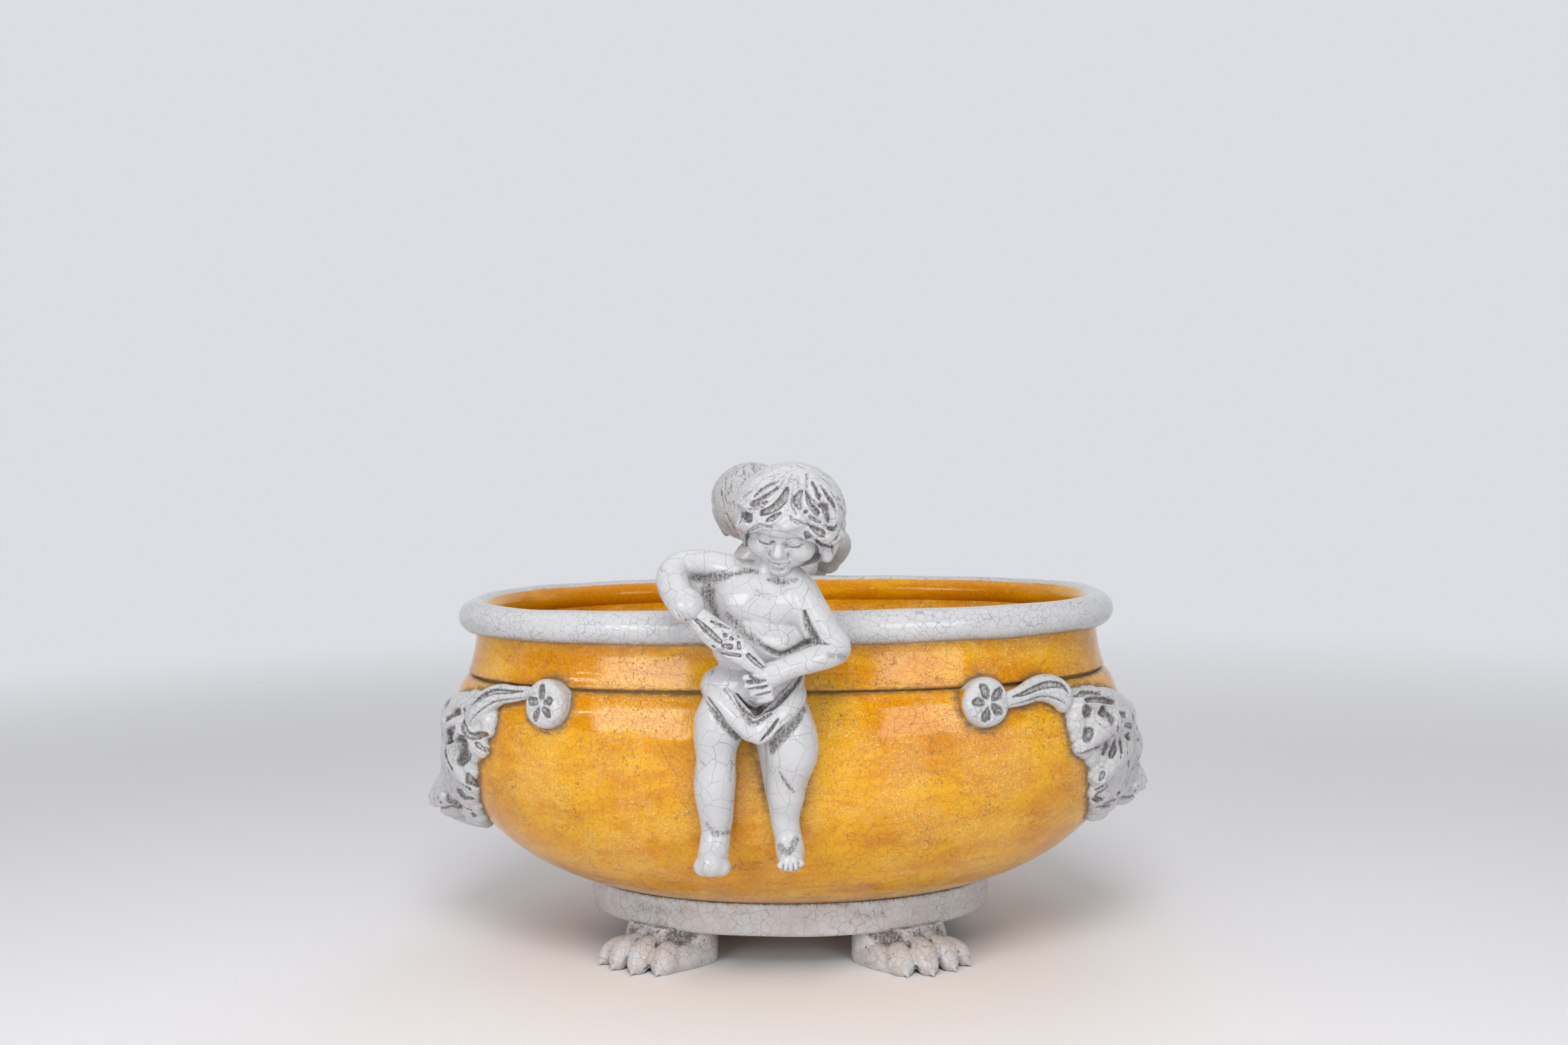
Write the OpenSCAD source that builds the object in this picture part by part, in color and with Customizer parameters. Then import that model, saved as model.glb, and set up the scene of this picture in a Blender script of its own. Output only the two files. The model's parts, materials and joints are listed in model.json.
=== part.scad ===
// Oval glazed planter on four paw feet, with lion masks, swags, rosettes and two child figures.
// Millimetres, +Z up. The origin is on the ground under the middle of the bowl.
// The bowl's long axis is X, and its front faces -Y.

/* [Bowl] */
// Length of the rim over the roll
rim_l = 500; // [440:5:560]
// Length of the bowl at its widest, the belly
belly_l = 514; // [460:5:580]
// Length at the groove between shoulder and neck
groove_l = 482; // [430:5:550]
// Length of the flat underside
base_l = 180; // [120:5:240]
// Width of the bowl as a share of its length
width_share = 0.67; // [0.6:0.01:0.8]
// Height of the rim's crest above the ground
rim_top_z = 267; // [250:1:290]
// Height of the groove above the ground
groove_z = 211; // [200:1:222]
// Height of the belly above the ground
belly_z = 156; // [140:1:170]
// Thickness of the bowl's wall
wall_t = 9; // [6:0.5:14]
// Thickness of the bowl's floor
floor_t = 10; // [7:0.5:16]

/* [Rim roll] */
// Breadth of the roll, across the rim
roll_w = 25; // [18:0.5:32]
// Height of the roll
roll_h = 24; // [18:0.5:30]

/* [Foot ring] */
// Length of the foot ring, end to end
ring_l = 306; // [260:2:350]
// Breadth of the ring's seat under the bowl
ring_t = 20; // [12:1:30]
// Height of the bowl's underside above the ring's lower edge
ring_seat_h = 13; // [8:1:20]

/* [Paw feet] */
// Height of a paw foot
foot_h = 28; // [22:1:36]
// Distance of each ankle from the bowl's middle, along X
ankle_x = 86; // [70:1:100]
// Distance of each ankle from the bowl's middle, along Y
ankle_y = 60; // [50:1:70]
// Width of a paw over its toes
paw_w = 70; // [56:1:84]
// Reach of the toes from the middle of the ankle
paw_reach = 50; // [40:1:60]
// Turn of each paw away from the front or the back, in degrees
paw_turn = 42; // [30:1:50]

/* [Rosettes and swags] */
// Diameter of a rosette
rosette_d = 36; // [28:1:44]
// How far a rosette's face stands off the bowl
rosette_t = 11; // [8:1:16]
// Distance of a rosette from the bowl's middle, along X
rosette_x = 148; // [130:1:160]
// Height of a rosette's middle above the ground
rosette_z = 202; // [190:1:208]
// Breadth of a swag at its widest
swag_w = 17; // [12:0.5:22]

/* [Lion masks] */
// Width of a mask with its mane
mask_w = 200; // [160:2:230]
// Height of a mask with its mane
mask_h = 100; // [80:1:116]
// Height of a mask's middle above the ground
mask_z = 140; // [130:1:150]
// Reach of the nose beyond the bowl behind it
nose_reach = 37; // [28:1:44]

/* [Figures] */
// Height of a figure from toes to crown
figure_h = 268; // [240:2:290]
// Place of the front figure along X
front_figure_x = -10; // [-40:1:40]
// Place of the rear figure along X
rear_figure_x = -14; // [-40:1:40]

/* [Hidden] */

yellow_glaze = "goldenrod";
white_glaze = "gainsboro";

// Facets round the bowl, and round the balls that the ornaments are built from
around = 52;
ball_facets = 8;
small_facets = 6;
disc_facets = 18;
head_facets = 12;

// Half lengths of the bowl's sections
belly_a = belly_l / 2;
neck_a = (rim_l - roll_w) / 2;
groove_a = groove_l / 2;
base_a = base_l / 2;
ring_a = ring_l / 2;
rim_face_y = width_share * neck_a + roll_w / 2;

// Depth of the groove, and how far the neck swells above it
groove_d = 2;
neck_swell = 4;

// Heights above the ground
base_z = foot_h + ring_seat_h;
roll_z = rim_top_z - roll_h / 2;
lip_z = roll_z - 0.375 * roll_h;
shoulder_z = groove_z - groove_d;
bulge_z = groove_z + groove_d;

// The oval is an ellipse at the base and squarer at the neck
base_power = 2;
neck_power = 2.45;
function power_at(z) =
    base_power + (neck_power - base_power) * min(1, max(0, (z - base_z) / (shoulder_z - base_z)));

function signed_pow(v, p) = sign(v) * pow(abs(v), p);

// One oval of points: half length a on the outside, drawn in by inset, at height z
function oval(a, inset, z) = [
    for (i = [0 : around - 1])
        let (t = 360 * i / around, p = 2 / power_at(z))
        [
            (a - inset) * signed_pow(cos(t), p),
            (width_share * a - inset) * signed_pow(sin(t), p),
            z
        ]
];

// Half length of the bowl's outside at height z
function outside_a(z) =
    z < belly_z
    ? base_a + (belly_a - base_a) * sqrt(max(0, 1 - pow((belly_z - z) / (belly_z - base_z), 2)))
    : groove_a + (belly_a - groove_a) * sqrt(max(0, 1 - pow((z - belly_z) / (shoulder_z - belly_z), 2)));

// Distance of the bowl's long side from its axis at (x, z), and of its end at (y, z)
function side_y(x, z) =
    let (p = power_at(z))
    width_share * outside_a(z) * pow(max(0, 1 - pow(abs(x) / outside_a(z), p)), 1 / p);
function end_x(y, z) =
    let (p = power_at(z))
    outside_a(z) * pow(max(0, 1 - pow(abs(y) / (width_share * outside_a(z)), p)), 1 / p);

// Angle on the lower curve where the bowl is this long
function lower_angle(a) = asin((a - base_a) / (belly_a - base_a));
function lower_point(t) =
    [base_a + (belly_a - base_a) * sin(t), belly_z - (belly_z - base_z) * cos(t)];

ring_in_angle = lower_angle(ring_a - ring_t);
ring_out_angle = lower_angle(ring_a);
lower_steps = 5;
shoulder_steps = 3;
neck_steps = 3;

lower_angles = concat(
    [0, ring_in_angle],
    [for (i = [0 : lower_steps]) ring_out_angle + (90 - ring_out_angle) * i / lower_steps]
);

// The outside from base to lip, as [half length, height]
outside = concat(
    [for (t = lower_angles) lower_point(t)],
    [for (i = [1 : shoulder_steps])
        let (t = 90 * i / shoulder_steps)
        [groove_a + (belly_a - groove_a) * cos(t), belly_z + (shoulder_z - belly_z) * sin(t)]],
    [[groove_a - groove_d, groove_z]],
    [for (i = [0 : neck_steps])
        let (s = i / neck_steps)
        [neck_a + neck_swell * pow(max(0, 1 - 2 * s), 2), bulge_z + (lip_z - bulge_z) * s]]
);

// The inside from lip to floor, as [half length of the outside there, height]
inside_steps = 6;
inside = concat(
    [[neck_a, lip_z], [neck_a, bulge_z]],
    [for (i = [1 : inside_steps])
        let (t = 90 - 90 * i / inside_steps)
        [
            base_a + wall_t + (belly_a - base_a - wall_t) * sin(t),
            belly_z - (belly_z - base_z - floor_t) * cos(t)
        ]]
);
inside_belly = [belly_a, belly_z];

outside_rings = [for (p = outside) oval(p[0], 0, p[1])];
inside_rings = concat(
    [oval(inside[0][0], wall_t, inside[0][1])],
    [oval(inside[1][0], wall_t, inside[1][1])],
    [oval(inside_belly[0], wall_t, inside_belly[1])],
    [for (i = [2 : len(inside) - 1]) oval(inside[i][0], wall_t, inside[i][1])]
);

// A skin over rings of equal count: capped at its ends, or joined round into a loop
module skin(rings, loop = false) {
    n = len(rings[0]);
    m = len(rings);
    caps = loop ? [] : [[for (i = [0 : n - 1]) i], [for (i = [n - 1 : -1 : 0]) (m - 1) * n + i]];
    bands = [
        for (j = [0 : loop ? m - 1 : m - 2])
            for (i = [0 : n - 1])
                for (half = [0, 1])
                    let (
                        a = j * n + i,
                        b = j * n + (i + 1) % n,
                        c = ((j + 1) % m) * n + (i + 1) % n,
                        d = ((j + 1) % m) * n + i
                    )
                    half == 0 ? [a, c, b] : [a, d, c]
    ];
    polyhedron(points = [for (r = rings) for (p = r) p], faces = concat(caps, bands));
}

// The bowl's outer form without its hollow, which seats the ornaments
module bowl_core() {
    skin(outside_rings);
}

module bowl() {
    color(yellow_glaze) skin(concat(outside_rings, inside_rings));
}

// The roll's section round the lip, as [distance out from the neck, height]
roll_first = -80;
roll_last = 180 + asin((roll_z - lip_z) / (roll_h / 2));
roll_steps = 8;
roll_section = concat(
    [for (i = [0 : roll_steps])
        let (t = roll_first + (roll_last - roll_first) * i / roll_steps)
        [roll_w / 2 * cos(t), roll_z + roll_h / 2 * sin(t)]],
    [[0, lip_z], [0, roll_z + roll_h / 2 * sin(roll_first)]]
);

module rim_roll() {
    color(white_glaze)
        skin([for (p = roll_section) oval(neck_a, -p[0], p[1])], true);
}

// The ring's section under the bowl, as [half length, height]
ring_edge_r = 5;
ring_section = concat(
    [lower_point(ring_out_angle)],
    [[ring_a, foot_h + ring_edge_r]],
    [[ring_a - 0.3 * ring_edge_r, foot_h + 0.3 * ring_edge_r]],
    [[ring_a - ring_edge_r, foot_h]],
    [[ring_a - ring_t, foot_h]],
    [lower_point(ring_in_angle)]
);

module foot_ring() {
    color(white_glaze)
        skin([for (i = [len(ring_section) - 1 : -1 : 0]) oval(ring_section[i][0], 0, ring_section[i][1])], true);
}

// A ball at p with radius r
module ball(p, r, facets = ball_facets) {
    translate(p) sphere(r = r, $fn = facets);
}

// A limb through balls given as [x, y, z, r] in shares of the length size
module limb(shares, size, facets = ball_facets) {
    for (i = [0 : len(shares) - 2])
        hull() {
            ball([for (k = [0 : 2]) shares[i][k] * size], shares[i][3] * size, facets);
            ball([for (k = [0 : 2]) shares[i + 1][k] * size], shares[i + 1][3] * size, facets);
        }
}

// A pointed row of balls between two places, both given as [x, y, z] with a radius each
module taper(p, rp, q, rq, facets = ball_facets) {
    hull() {
        ball(p, rp, facets);
        ball(q, rq, facets);
    }
}

// Toes from the outer to the inner side: place across and reach, as shares of the paw
toe_across_share = [0.4, 0.16, -0.15, -0.38];
toe_reach_share = [0.93, 1, 0.98, 0.84];
toe_r = 0.12 * paw_w;
claw_r = 0.06 * paw_w;
knuckle_z = 0.5 * foot_h;
heel_r = 0.3 * paw_w;
ankle_r = 0.36 * paw_w;
ankle_in = 0.1 * paw_w;

// One right front paw in its own frame: toes towards -Y, outer side towards +X
module paw_form() {
    intersection() {
        union() {
            hull() {
                translate([-ankle_in, 0, foot_h - claw_r])
                    scale([1, 0.8, 1]) cylinder(h = claw_r, r = ankle_r, $fn = disc_facets);
                ball([-ankle_in, heel_r / 3, heel_r / 2], heel_r);
            }
            hull() {
                translate([-ankle_in, 0, 0]) scale([1.1, 0.8, 1]) cylinder(h = knuckle_z, r = ankle_r, $fn = disc_facets);
                for (i = [0, 3])
                    ball([toe_across_share[i] * paw_w, -toe_reach_share[i] * paw_reach + 3 * toe_r, toe_r / 2], toe_r);
            }
            for (i = [0 : 3]) {
                x = toe_across_share[i] * paw_w;
                reach = toe_reach_share[i] * paw_reach;
                root = [0.55 * x - ankle_in / 2, -ankle_r / 2, foot_h - 1.4 * toe_r];
                knuckle = [0.94 * x, -reach + 1.7 * toe_r, knuckle_z];
                tip = [x, -reach + claw_r, 0.7 * claw_r];
                taper(root, toe_r, knuckle, toe_r);
                taper(knuckle, toe_r, tip, claw_r);
            }
        }
        translate([-paw_w, -2 * paw_w, 0]) cube([2 * paw_w, 3 * paw_w, foot_h]);
    }
}

module placed_paw(side, face) {
    color(white_glaze)
        scale([side, face, 1]) translate([ankle_x, -ankle_y, 0]) rotate([0, 0, paw_turn]) paw_form();
}

module front_left_foot() {
    placed_paw(-1, 1);
}
module front_right_foot() {
    placed_paw(1, 1);
}
module rear_left_foot() {
    placed_paw(-1, -1);
}
module rear_right_foot() {
    placed_paw(1, -1);
}

// A rosette turns with the bowl's side, and leans back a little with the shoulder
rosette_turn = 27;
rosette_lean = 7;
rosette_y = side_y(rosette_x, rosette_z);
rosette_sink = 0.45 * rosette_d;
petals = 5;

// A petal's hollow: three balls outwards from the middle, as [place, radius] in shares
petal_share = [[0.12, 0.035], [0.23, 0.085], [0.31, 0.05]];

// One right front rosette in its own frame, facing -Y
module rosette_form() {
    face_r = rosette_d / 2;
    edge_r = 0.1 * rosette_d;
    difference() {
        hull() {
            rotate([90, 0, 0]) translate([0, 0, -rosette_sink])
                cylinder(h = rosette_sink + rosette_t - edge_r, r1 = 0.8 * face_r, r2 = face_r, $fn = disc_facets);
            rotate([90, 0, 0]) translate([0, 0, -rosette_sink])
                cylinder(h = rosette_sink + rosette_t, r = face_r - edge_r, $fn = disc_facets);
        }
        for (i = [0 : petals - 1], k = [0, 1])
            rotate([0, 360 * i / petals, 0])
                taper([0, -rosette_t, petal_share[k][0] * rosette_d], petal_share[k][1] * rosette_d,
                    [0, -rosette_t, petal_share[k + 1][0] * rosette_d], petal_share[k + 1][1] * rosette_d,
                    small_facets);
    }
    taper([0, -rosette_t + edge_r, 0], edge_r, [0, -rosette_t, 0], 0.06 * rosette_d, small_facets);
}

module placed_rosette(side, face) {
    color(white_glaze) difference() {
        scale([side, face, 1]) translate([rosette_x, -rosette_y, rosette_z])
            rotate([-rosette_lean, 0, rosette_turn]) rosette_form();
        bowl_core();
    }
}

module front_left_rosette() {
    placed_rosette(-1, 1);
}
module front_right_rosette() {
    placed_rosette(1, 1);
}
module rear_left_rosette() {
    placed_rosette(-1, -1);
}
module rear_right_rosette() {
    placed_rosette(1, -1);
}

// A swag from its rosette to the mask: place along X as a share of the way, height above
// the rosette's middle as a share of the swag's breadth, and radius as a share of it
swag_share = [
    [0.00, 0.05, 0.24],
    [0.25, 0.05, 0.26],
    [0.45, 0.20, 0.38],
    [0.68, 0.02, 0.48],
    [0.90, -0.55, 0.55],
    [1.00, -1.00, 0.42]
];
swag_from_x = rosette_x + 0.36 * rosette_d;
swag_to_x = groove_a - 0.6 * swag_w;

function swag_place(s, out) =
    let (
        x = swag_from_x + (swag_to_x - swag_from_x) * s[0],
        z = rosette_z + swag_w * s[1]
    )
    [x, -side_y(x, z) - out * swag_w, z];

module swag_form() {
    for (i = [0 : len(swag_share) - 2])
        taper(swag_place(swag_share[i], 0.1), swag_share[i][2] * swag_w,
            swag_place(swag_share[i + 1], 0.1), swag_share[i + 1][2] * swag_w);
}

module swag_gouge() {
    for (i = [2 : len(swag_share) - 3])
        taper(swag_place(swag_share[i], 0.55), 0.13 * swag_w,
            swag_place(swag_share[i + 1], 0.62), 0.2 * swag_w, small_facets);
}

module placed_swag(side, face) {
    color(white_glaze) difference() {
        scale([side, face, 1]) difference() {
            swag_form();
            swag_gouge();
            translate([rosette_x, -rosette_y, rosette_z])
                rotate([-rosette_lean, 0, rosette_turn]) rosette_form();
            mask_form();
        }
        bowl_core();
    }
}

module front_left_swag() {
    placed_swag(-1, 1);
}
module front_right_swag() {
    placed_swag(1, 1);
}
module rear_left_swag() {
    placed_swag(-1, -1);
}
module rear_right_swag() {
    placed_swag(1, -1);
}

// Locks of the mane on one side of the mask, each a run of three places given as
// [across, up, out, radius]: across in shares of the mask's width, the rest of its height
lock_share = [
    [[0.09, 0.37, 0.03, 0.14], [0.29, 0.47, 0.01, 0.14], [0.42, 0.44, -0.02, 0.11]],
    [[0.14, 0.21, 0.05, 0.15], [0.33, 0.28, 0.01, 0.15], [0.46, 0.17, -0.02, 0.09]],
    [[0.16, 0.04, 0.06, 0.13], [0.33, 0.06, 0.01, 0.13], [0.45, -0.03, -0.02, 0.09]],
    [[0.16, -0.15, 0.06, 0.12], [0.30, -0.15, 0.01, 0.12], [0.41, -0.20, -0.02, 0.08]],
    [[0.10, -0.33, 0.06, 0.11], [0.21, -0.35, 0.01, 0.11], [0.32, -0.39, -0.02, 0.08]]
];
// The middle of the mask from the forelock down to the brow, in the same shares
forelock_share = [
    [0.03, 0.40, 0.00, 0.11],
    [0.03, 0.25, 0.06, 0.12],
    [0.03, 0.12, 0.08, 0.11]
];
// The face: [across, up, out, radius], out in shares of the nose's reach
brow_share = [0.07, 0.04, 0.34, 0.09];
bridge_share = [0.02, 0.02, 0.42, 0.09];
nose_tip_share = [0.02, -0.29, 0.81, 0.075];
pad_share = [0.045, -0.36, 0.50, 0.09];
chin_share = [0.02, -0.45, 0.36, 0.08];
cheek_share = [0.12, -0.19, 0.16, 0.13];

// A ball on the right end of the bowl, standing out from its wall
module mask_ball(s, side, out_size, facets = ball_facets) {
    y = side * s[0] * mask_w;
    z = mask_z + s[1] * mask_h;
    ball([end_x(y, z) + s[2] * out_size, y, z], s[3] * mask_h, facets);
}

// The mane's locks lie on a bed of thinner clay that closes the gaps between them
module mane(side) {
    bed_share = [0, 0, -0.03, -0.04];
    for (row = lock_share, i = [0, 1])
        hull() {
            mask_ball(row[i], side, mask_h);
            mask_ball(row[i + 1], side, mask_h);
        }
    for (k = [0 : len(lock_share) - 2])
        hull()
            for (j = [k, k + 1])
                for (i = [0, 1])
                    mask_ball(lock_share[j][i] + bed_share, side, mask_h, small_facets);
}

module face_hull(rows, sides) {
    hull()
        for (s = rows)
            for (side = sides)
                mask_ball(s, side, nose_reach);
}

module mask_form() {
    both = [-1, 1];
    for (side = both) {
        mane(side);
        face_hull([brow_share, bridge_share, cheek_share], [side]);
        face_hull([nose_tip_share, pad_share, cheek_share], [side]);
        face_hull([brow_share], [side]);
    }
    face_hull([bridge_share, nose_tip_share], both);
    face_hull([pad_share, chin_share], both);
    for (i = [0, 1])
        hull()
            for (side = both)
                for (k = [i, i + 1])
                    mask_ball(forelock_share[k], side, mask_h);
}

module right_lion_mask() {
    color(white_glaze) difference() {
        mask_form();
        bowl_core();
    }
}
module left_lion_mask() {
    color(white_glaze) difference() {
        rotate([0, 0, 180]) mask_form();
        bowl_core();
    }
}

// Figure tables: [x, y, z, r] in shares of the figure's height, from the rim's outer face
// at the height of the roll's middle. +X is the viewer's right, -Y is towards the viewer.
// The torso's rows are [x, spread to each side, y, z, r]
torso_share = [
    [0.019, 0.067, -0.056, 0.131, 0.045],
    [0.011, 0.049, -0.052, 0.056, 0.067],
    [0.004, 0.049, -0.052, -0.030, 0.065],
    [0.000, 0.052, -0.056, -0.101, 0.071],
    [-0.007, 0.067, -0.045, -0.175, 0.063]
];
neck_share = [[0.025, -0.052, 0.130, 0.040], [0.042, -0.055, 0.175, 0.037]];
// Chest and seat muscles, from the inner to the outer ball of each
chest_share = [[0.040, -0.082, 0.085, 0.038], [0.072, -0.076, 0.095, 0.036]];
seat_share = [[0.030, -0.030, -0.150, 0.060], [0.062, -0.035, -0.165, 0.062]];
head_share = [
    [0.088, -0.052, 0.290, 0.116],
    [0.075, -0.088, 0.262, 0.100],
    [0.030, -0.130, 0.222, 0.050],
    [0.119, -0.132, 0.220, 0.050],
    [0.071, -0.136, 0.187, 0.038]
];
nose_share = [[0.078, -0.170, 0.262, 0.014], [0.073, -0.190, 0.232, 0.017]];
cap_share = [0.086, -0.040, 0.296, 0.131];
// Locks of hair fan out from the crown: their count, and how low they end at the brow
// and at the nape, in degrees above the cap's middle
hair_locks = 9;
hair_middle = 32;
brow_end = 8;
nape_end = -34;
lock_r_share = 0.042;
// The forelock curls down over the middle of the brow
brow_lock_share = [
    [0.075, -0.140, 0.372, 0.030],
    [0.062, -0.172, 0.330, 0.028],
    [0.074, -0.182, 0.298, 0.022]
];
right_arm_share = [
    [-0.052, -0.056, 0.164, 0.045],
    [-0.119, -0.052, 0.175, 0.039],
    [-0.187, -0.063, 0.172, 0.047],
    [-0.187, -0.112, 0.131, 0.039],
    [-0.172, -0.142, 0.097, 0.032],
    [-0.164, -0.164, 0.075, 0.043]
];
left_arm_share = [
    [0.101, -0.056, 0.127, 0.047],
    [0.149, -0.060, 0.063, 0.041],
    [0.187, -0.075, -0.015, 0.043],
    [0.127, -0.127, -0.041, 0.035],
    [0.060, -0.157, -0.063, 0.028],
    [0.015, -0.162, -0.090, 0.030]
];
right_leg_share = [
    [-0.075, -0.049, -0.194, 0.063],
    [-0.097, -0.045, -0.261, 0.054],
    [-0.101, -0.045, -0.328, 0.051],
    [-0.101, -0.037, -0.392, 0.047],
    [-0.097, -0.026, -0.463, 0.037],
    [-0.101, -0.019, -0.504, 0.035],
    [-0.104, -0.041, -0.537, 0.035]
];
left_leg_share = [
    [0.075, -0.049, -0.194, 0.063],
    [0.086, -0.049, -0.254, 0.063],
    [0.082, -0.045, -0.317, 0.058],
    [0.071, -0.034, -0.384, 0.047],
    [0.067, -0.022, -0.451, 0.034],
    [0.073, -0.015, -0.489, 0.034],
    [0.082, -0.037, -0.530, 0.034]
];
toe_ball_share = 0.011;
loincloth_share = [
    [[-0.123, -0.060, -0.123, 0.026], [-0.090, -0.101, -0.160, 0.024],
        [-0.045, -0.119, -0.205, 0.024], [0.000, -0.112, -0.239, 0.030]],
    [[0.119, -0.060, -0.108, 0.026], [0.082, -0.101, -0.146, 0.024],
        [0.037, -0.119, -0.198, 0.024], [0.000, -0.112, -0.239, 0.030]]
];
horn_share = [
    [-0.157, -0.172, 0.063, 0.022],
    [-0.112, -0.168, 0.041, 0.030],
    [-0.067, -0.157, 0.007, 0.039],
    [-0.022, -0.160, -0.030, 0.030],
    [0.019, -0.168, -0.063, 0.019]
];

module share_ball(s, facets = ball_facets) {
    ball([for (k = [0 : 2]) s[k] * figure_h], s[3] * figure_h, facets);
}

module torso_row(row) {
    for (side = [-1, 1])
        share_ball([row[0] + side * row[1], row[2], row[3], row[4]], head_facets);
}

module torso_form() {
    for (i = [0 : len(torso_share) - 2])
        hull() {
            torso_row(torso_share[i]);
            torso_row(torso_share[i + 1]);
        }
    limb(neck_share, figure_h);
    for (side = [-1, 1])
        for (row = [chest_share, seat_share])
            hull()
                for (s = row) share_ball([torso_share[0][0] + side * s[0], s[1], s[2], s[3]]);
}

module head_form() {
    hull() {
        share_ball(head_share[0], head_facets);
        share_ball(head_share[1], head_facets);
    }
    hull() for (i = [1 : 4]) share_ball(head_share[i], head_facets);
    limb(nose_share, figure_h, small_facets);
}

// A place on the cap of hair: turn round it from the viewer's right, and height in degrees
function on_cap(turn, lift) =
    [for (k = [0 : 2]) cap_share[k]]
    + cap_share[3] * [cos(lift) * cos(turn), cos(lift) * sin(turn), sin(lift)];

module hair_form() {
    difference() {
        union() {
            share_ball(cap_share, 16);
            for (i = [0 : hair_locks - 1]) {
                turn = 360 * (i + 0.25) / hair_locks;
                end = brow_end + (nape_end - brow_end) * (1 + sin(turn)) / 2;
                limb([
                    concat(on_cap(0, 90) - [0, 0, lock_r_share], [lock_r_share]),
                    concat(on_cap(turn, hair_middle), [lock_r_share]),
                    concat(on_cap(turn, end), [0.9 * lock_r_share])
                ], figure_h, small_facets);
            }
            limb(brow_lock_share, figure_h, small_facets);
        }
        head_form();
        hull() for (i = [2 : 4]) share_ball(head_share[i] + [0, -0.03, -0.01, 0.012]);
    }
}

// Four fingers or toes of one size, fanned along a row
module digits(from_share, step_share, reach_share, r_share) {
    for (i = [0 : 3])
        limb([
            concat(from_share + i * step_share, [r_share]),
            concat(from_share + i * step_share + reach_share, [0.9 * r_share])
        ], figure_h, small_facets);
}

module right_arm_form() {
    limb(right_arm_share, figure_h);
    digits([-0.182, -0.196, 0.092], [0.008, 0.001, -0.012], [0.022, -0.004, -0.006], 0.014);
}

module left_arm_form() {
    limb(left_arm_share, figure_h);
    digits([0.002, -0.172, -0.074], [0.004, 0, -0.014], [-0.032, 0.006, -0.010], 0.011);
}

module leg_form(leg_share) {
    limb(leg_share, figure_h);
    foot = leg_share[len(leg_share) - 1];
    digits([foot[0] - 0.022, foot[1] - 0.026, foot[2] - 0.022], [0.0145, 0, 0], [0, -0.008, -0.006], toe_ball_share);
}

module loincloth_form() {
    for (row = loincloth_share) limb(row, figure_h);
    hull() {
        share_ball(loincloth_share[0][2]);
        share_ball(loincloth_share[1][2]);
        share_ball(loincloth_share[0][3]);
    }
}

module horn_form() {
    limb(horn_share, figure_h);
}

module on_front() {
    translate([front_figure_x, -rim_face_y, roll_z]) children();
}
module on_rear() {
    rotate([0, 0, 180]) translate([-rear_figure_x, -rim_face_y, roll_z]) children();
}

// The bowl and its roll, which every piece of a figure is cut to lie against
module bowl_and_roll() {
    bowl_core();
    rim_roll();
}

module torso_piece() {
    torso_form();
}
module head_piece() {
    difference() {
        head_form();
        torso_form();
    }
}
module hair_piece() {
    difference() {
        hair_form();
        torso_form();
    }
}
module right_arm_piece() {
    difference() {
        right_arm_form();
        torso_form();
        head_form();
        hair_form();
    }
}
module left_arm_piece() {
    difference() {
        left_arm_form();
        torso_form();
        head_form();
        hair_form();
    }
}
module right_leg_piece() {
    difference() {
        leg_form(right_leg_share);
        torso_form();
    }
}
module left_leg_piece() {
    difference() {
        leg_form(left_leg_share);
        torso_form();
        leg_form(right_leg_share);
    }
}
module loincloth_piece() {
    difference() {
        loincloth_form();
        torso_form();
        leg_form(right_leg_share);
        leg_form(left_leg_share);
        left_arm_form();
    }
}
module horn_piece() {
    difference() {
        horn_form();
        torso_form();
        right_arm_form();
        left_arm_form();
        loincloth_form();
    }
}

module front_torso() {
    color(white_glaze) difference() {
        on_front() torso_piece();
        bowl_and_roll();
    }
}
module front_head() {
    color(white_glaze) difference() {
        on_front() head_piece();
        bowl_and_roll();
    }
}
module front_hair() {
    color(white_glaze) difference() {
        on_front() hair_piece();
        bowl_and_roll();
    }
}
module front_right_arm() {
    color(white_glaze) difference() {
        on_front() right_arm_piece();
        bowl_and_roll();
    }
}
module front_left_arm() {
    color(white_glaze) difference() {
        on_front() left_arm_piece();
        bowl_and_roll();
    }
}
module front_right_leg() {
    color(white_glaze) difference() {
        on_front() right_leg_piece();
        bowl_and_roll();
    }
}
module front_left_leg() {
    color(white_glaze) difference() {
        on_front() left_leg_piece();
        bowl_and_roll();
    }
}
module front_loincloth() {
    color(white_glaze) difference() {
        on_front() loincloth_piece();
        bowl_and_roll();
    }
}
module front_horn() {
    color(white_glaze) difference() {
        on_front() horn_piece();
        bowl_and_roll();
    }
}
module rear_torso() {
    color(white_glaze) difference() {
        on_rear() torso_piece();
        bowl_and_roll();
    }
}
module rear_head() {
    color(white_glaze) difference() {
        on_rear() head_piece();
        bowl_and_roll();
    }
}
module rear_hair() {
    color(white_glaze) difference() {
        on_rear() hair_piece();
        bowl_and_roll();
    }
}
module rear_right_arm() {
    color(white_glaze) difference() {
        on_rear() right_arm_piece();
        bowl_and_roll();
    }
}
module rear_left_arm() {
    color(white_glaze) difference() {
        on_rear() left_arm_piece();
        bowl_and_roll();
    }
}
module rear_right_leg() {
    color(white_glaze) difference() {
        on_rear() right_leg_piece();
        bowl_and_roll();
    }
}
module rear_left_leg() {
    color(white_glaze) difference() {
        on_rear() left_leg_piece();
        bowl_and_roll();
    }
}
module rear_loincloth() {
    color(white_glaze) difference() {
        on_rear() loincloth_piece();
        bowl_and_roll();
    }
}
module rear_horn() {
    color(white_glaze) difference() {
        on_rear() horn_piece();
        bowl_and_roll();
    }
}

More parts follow.
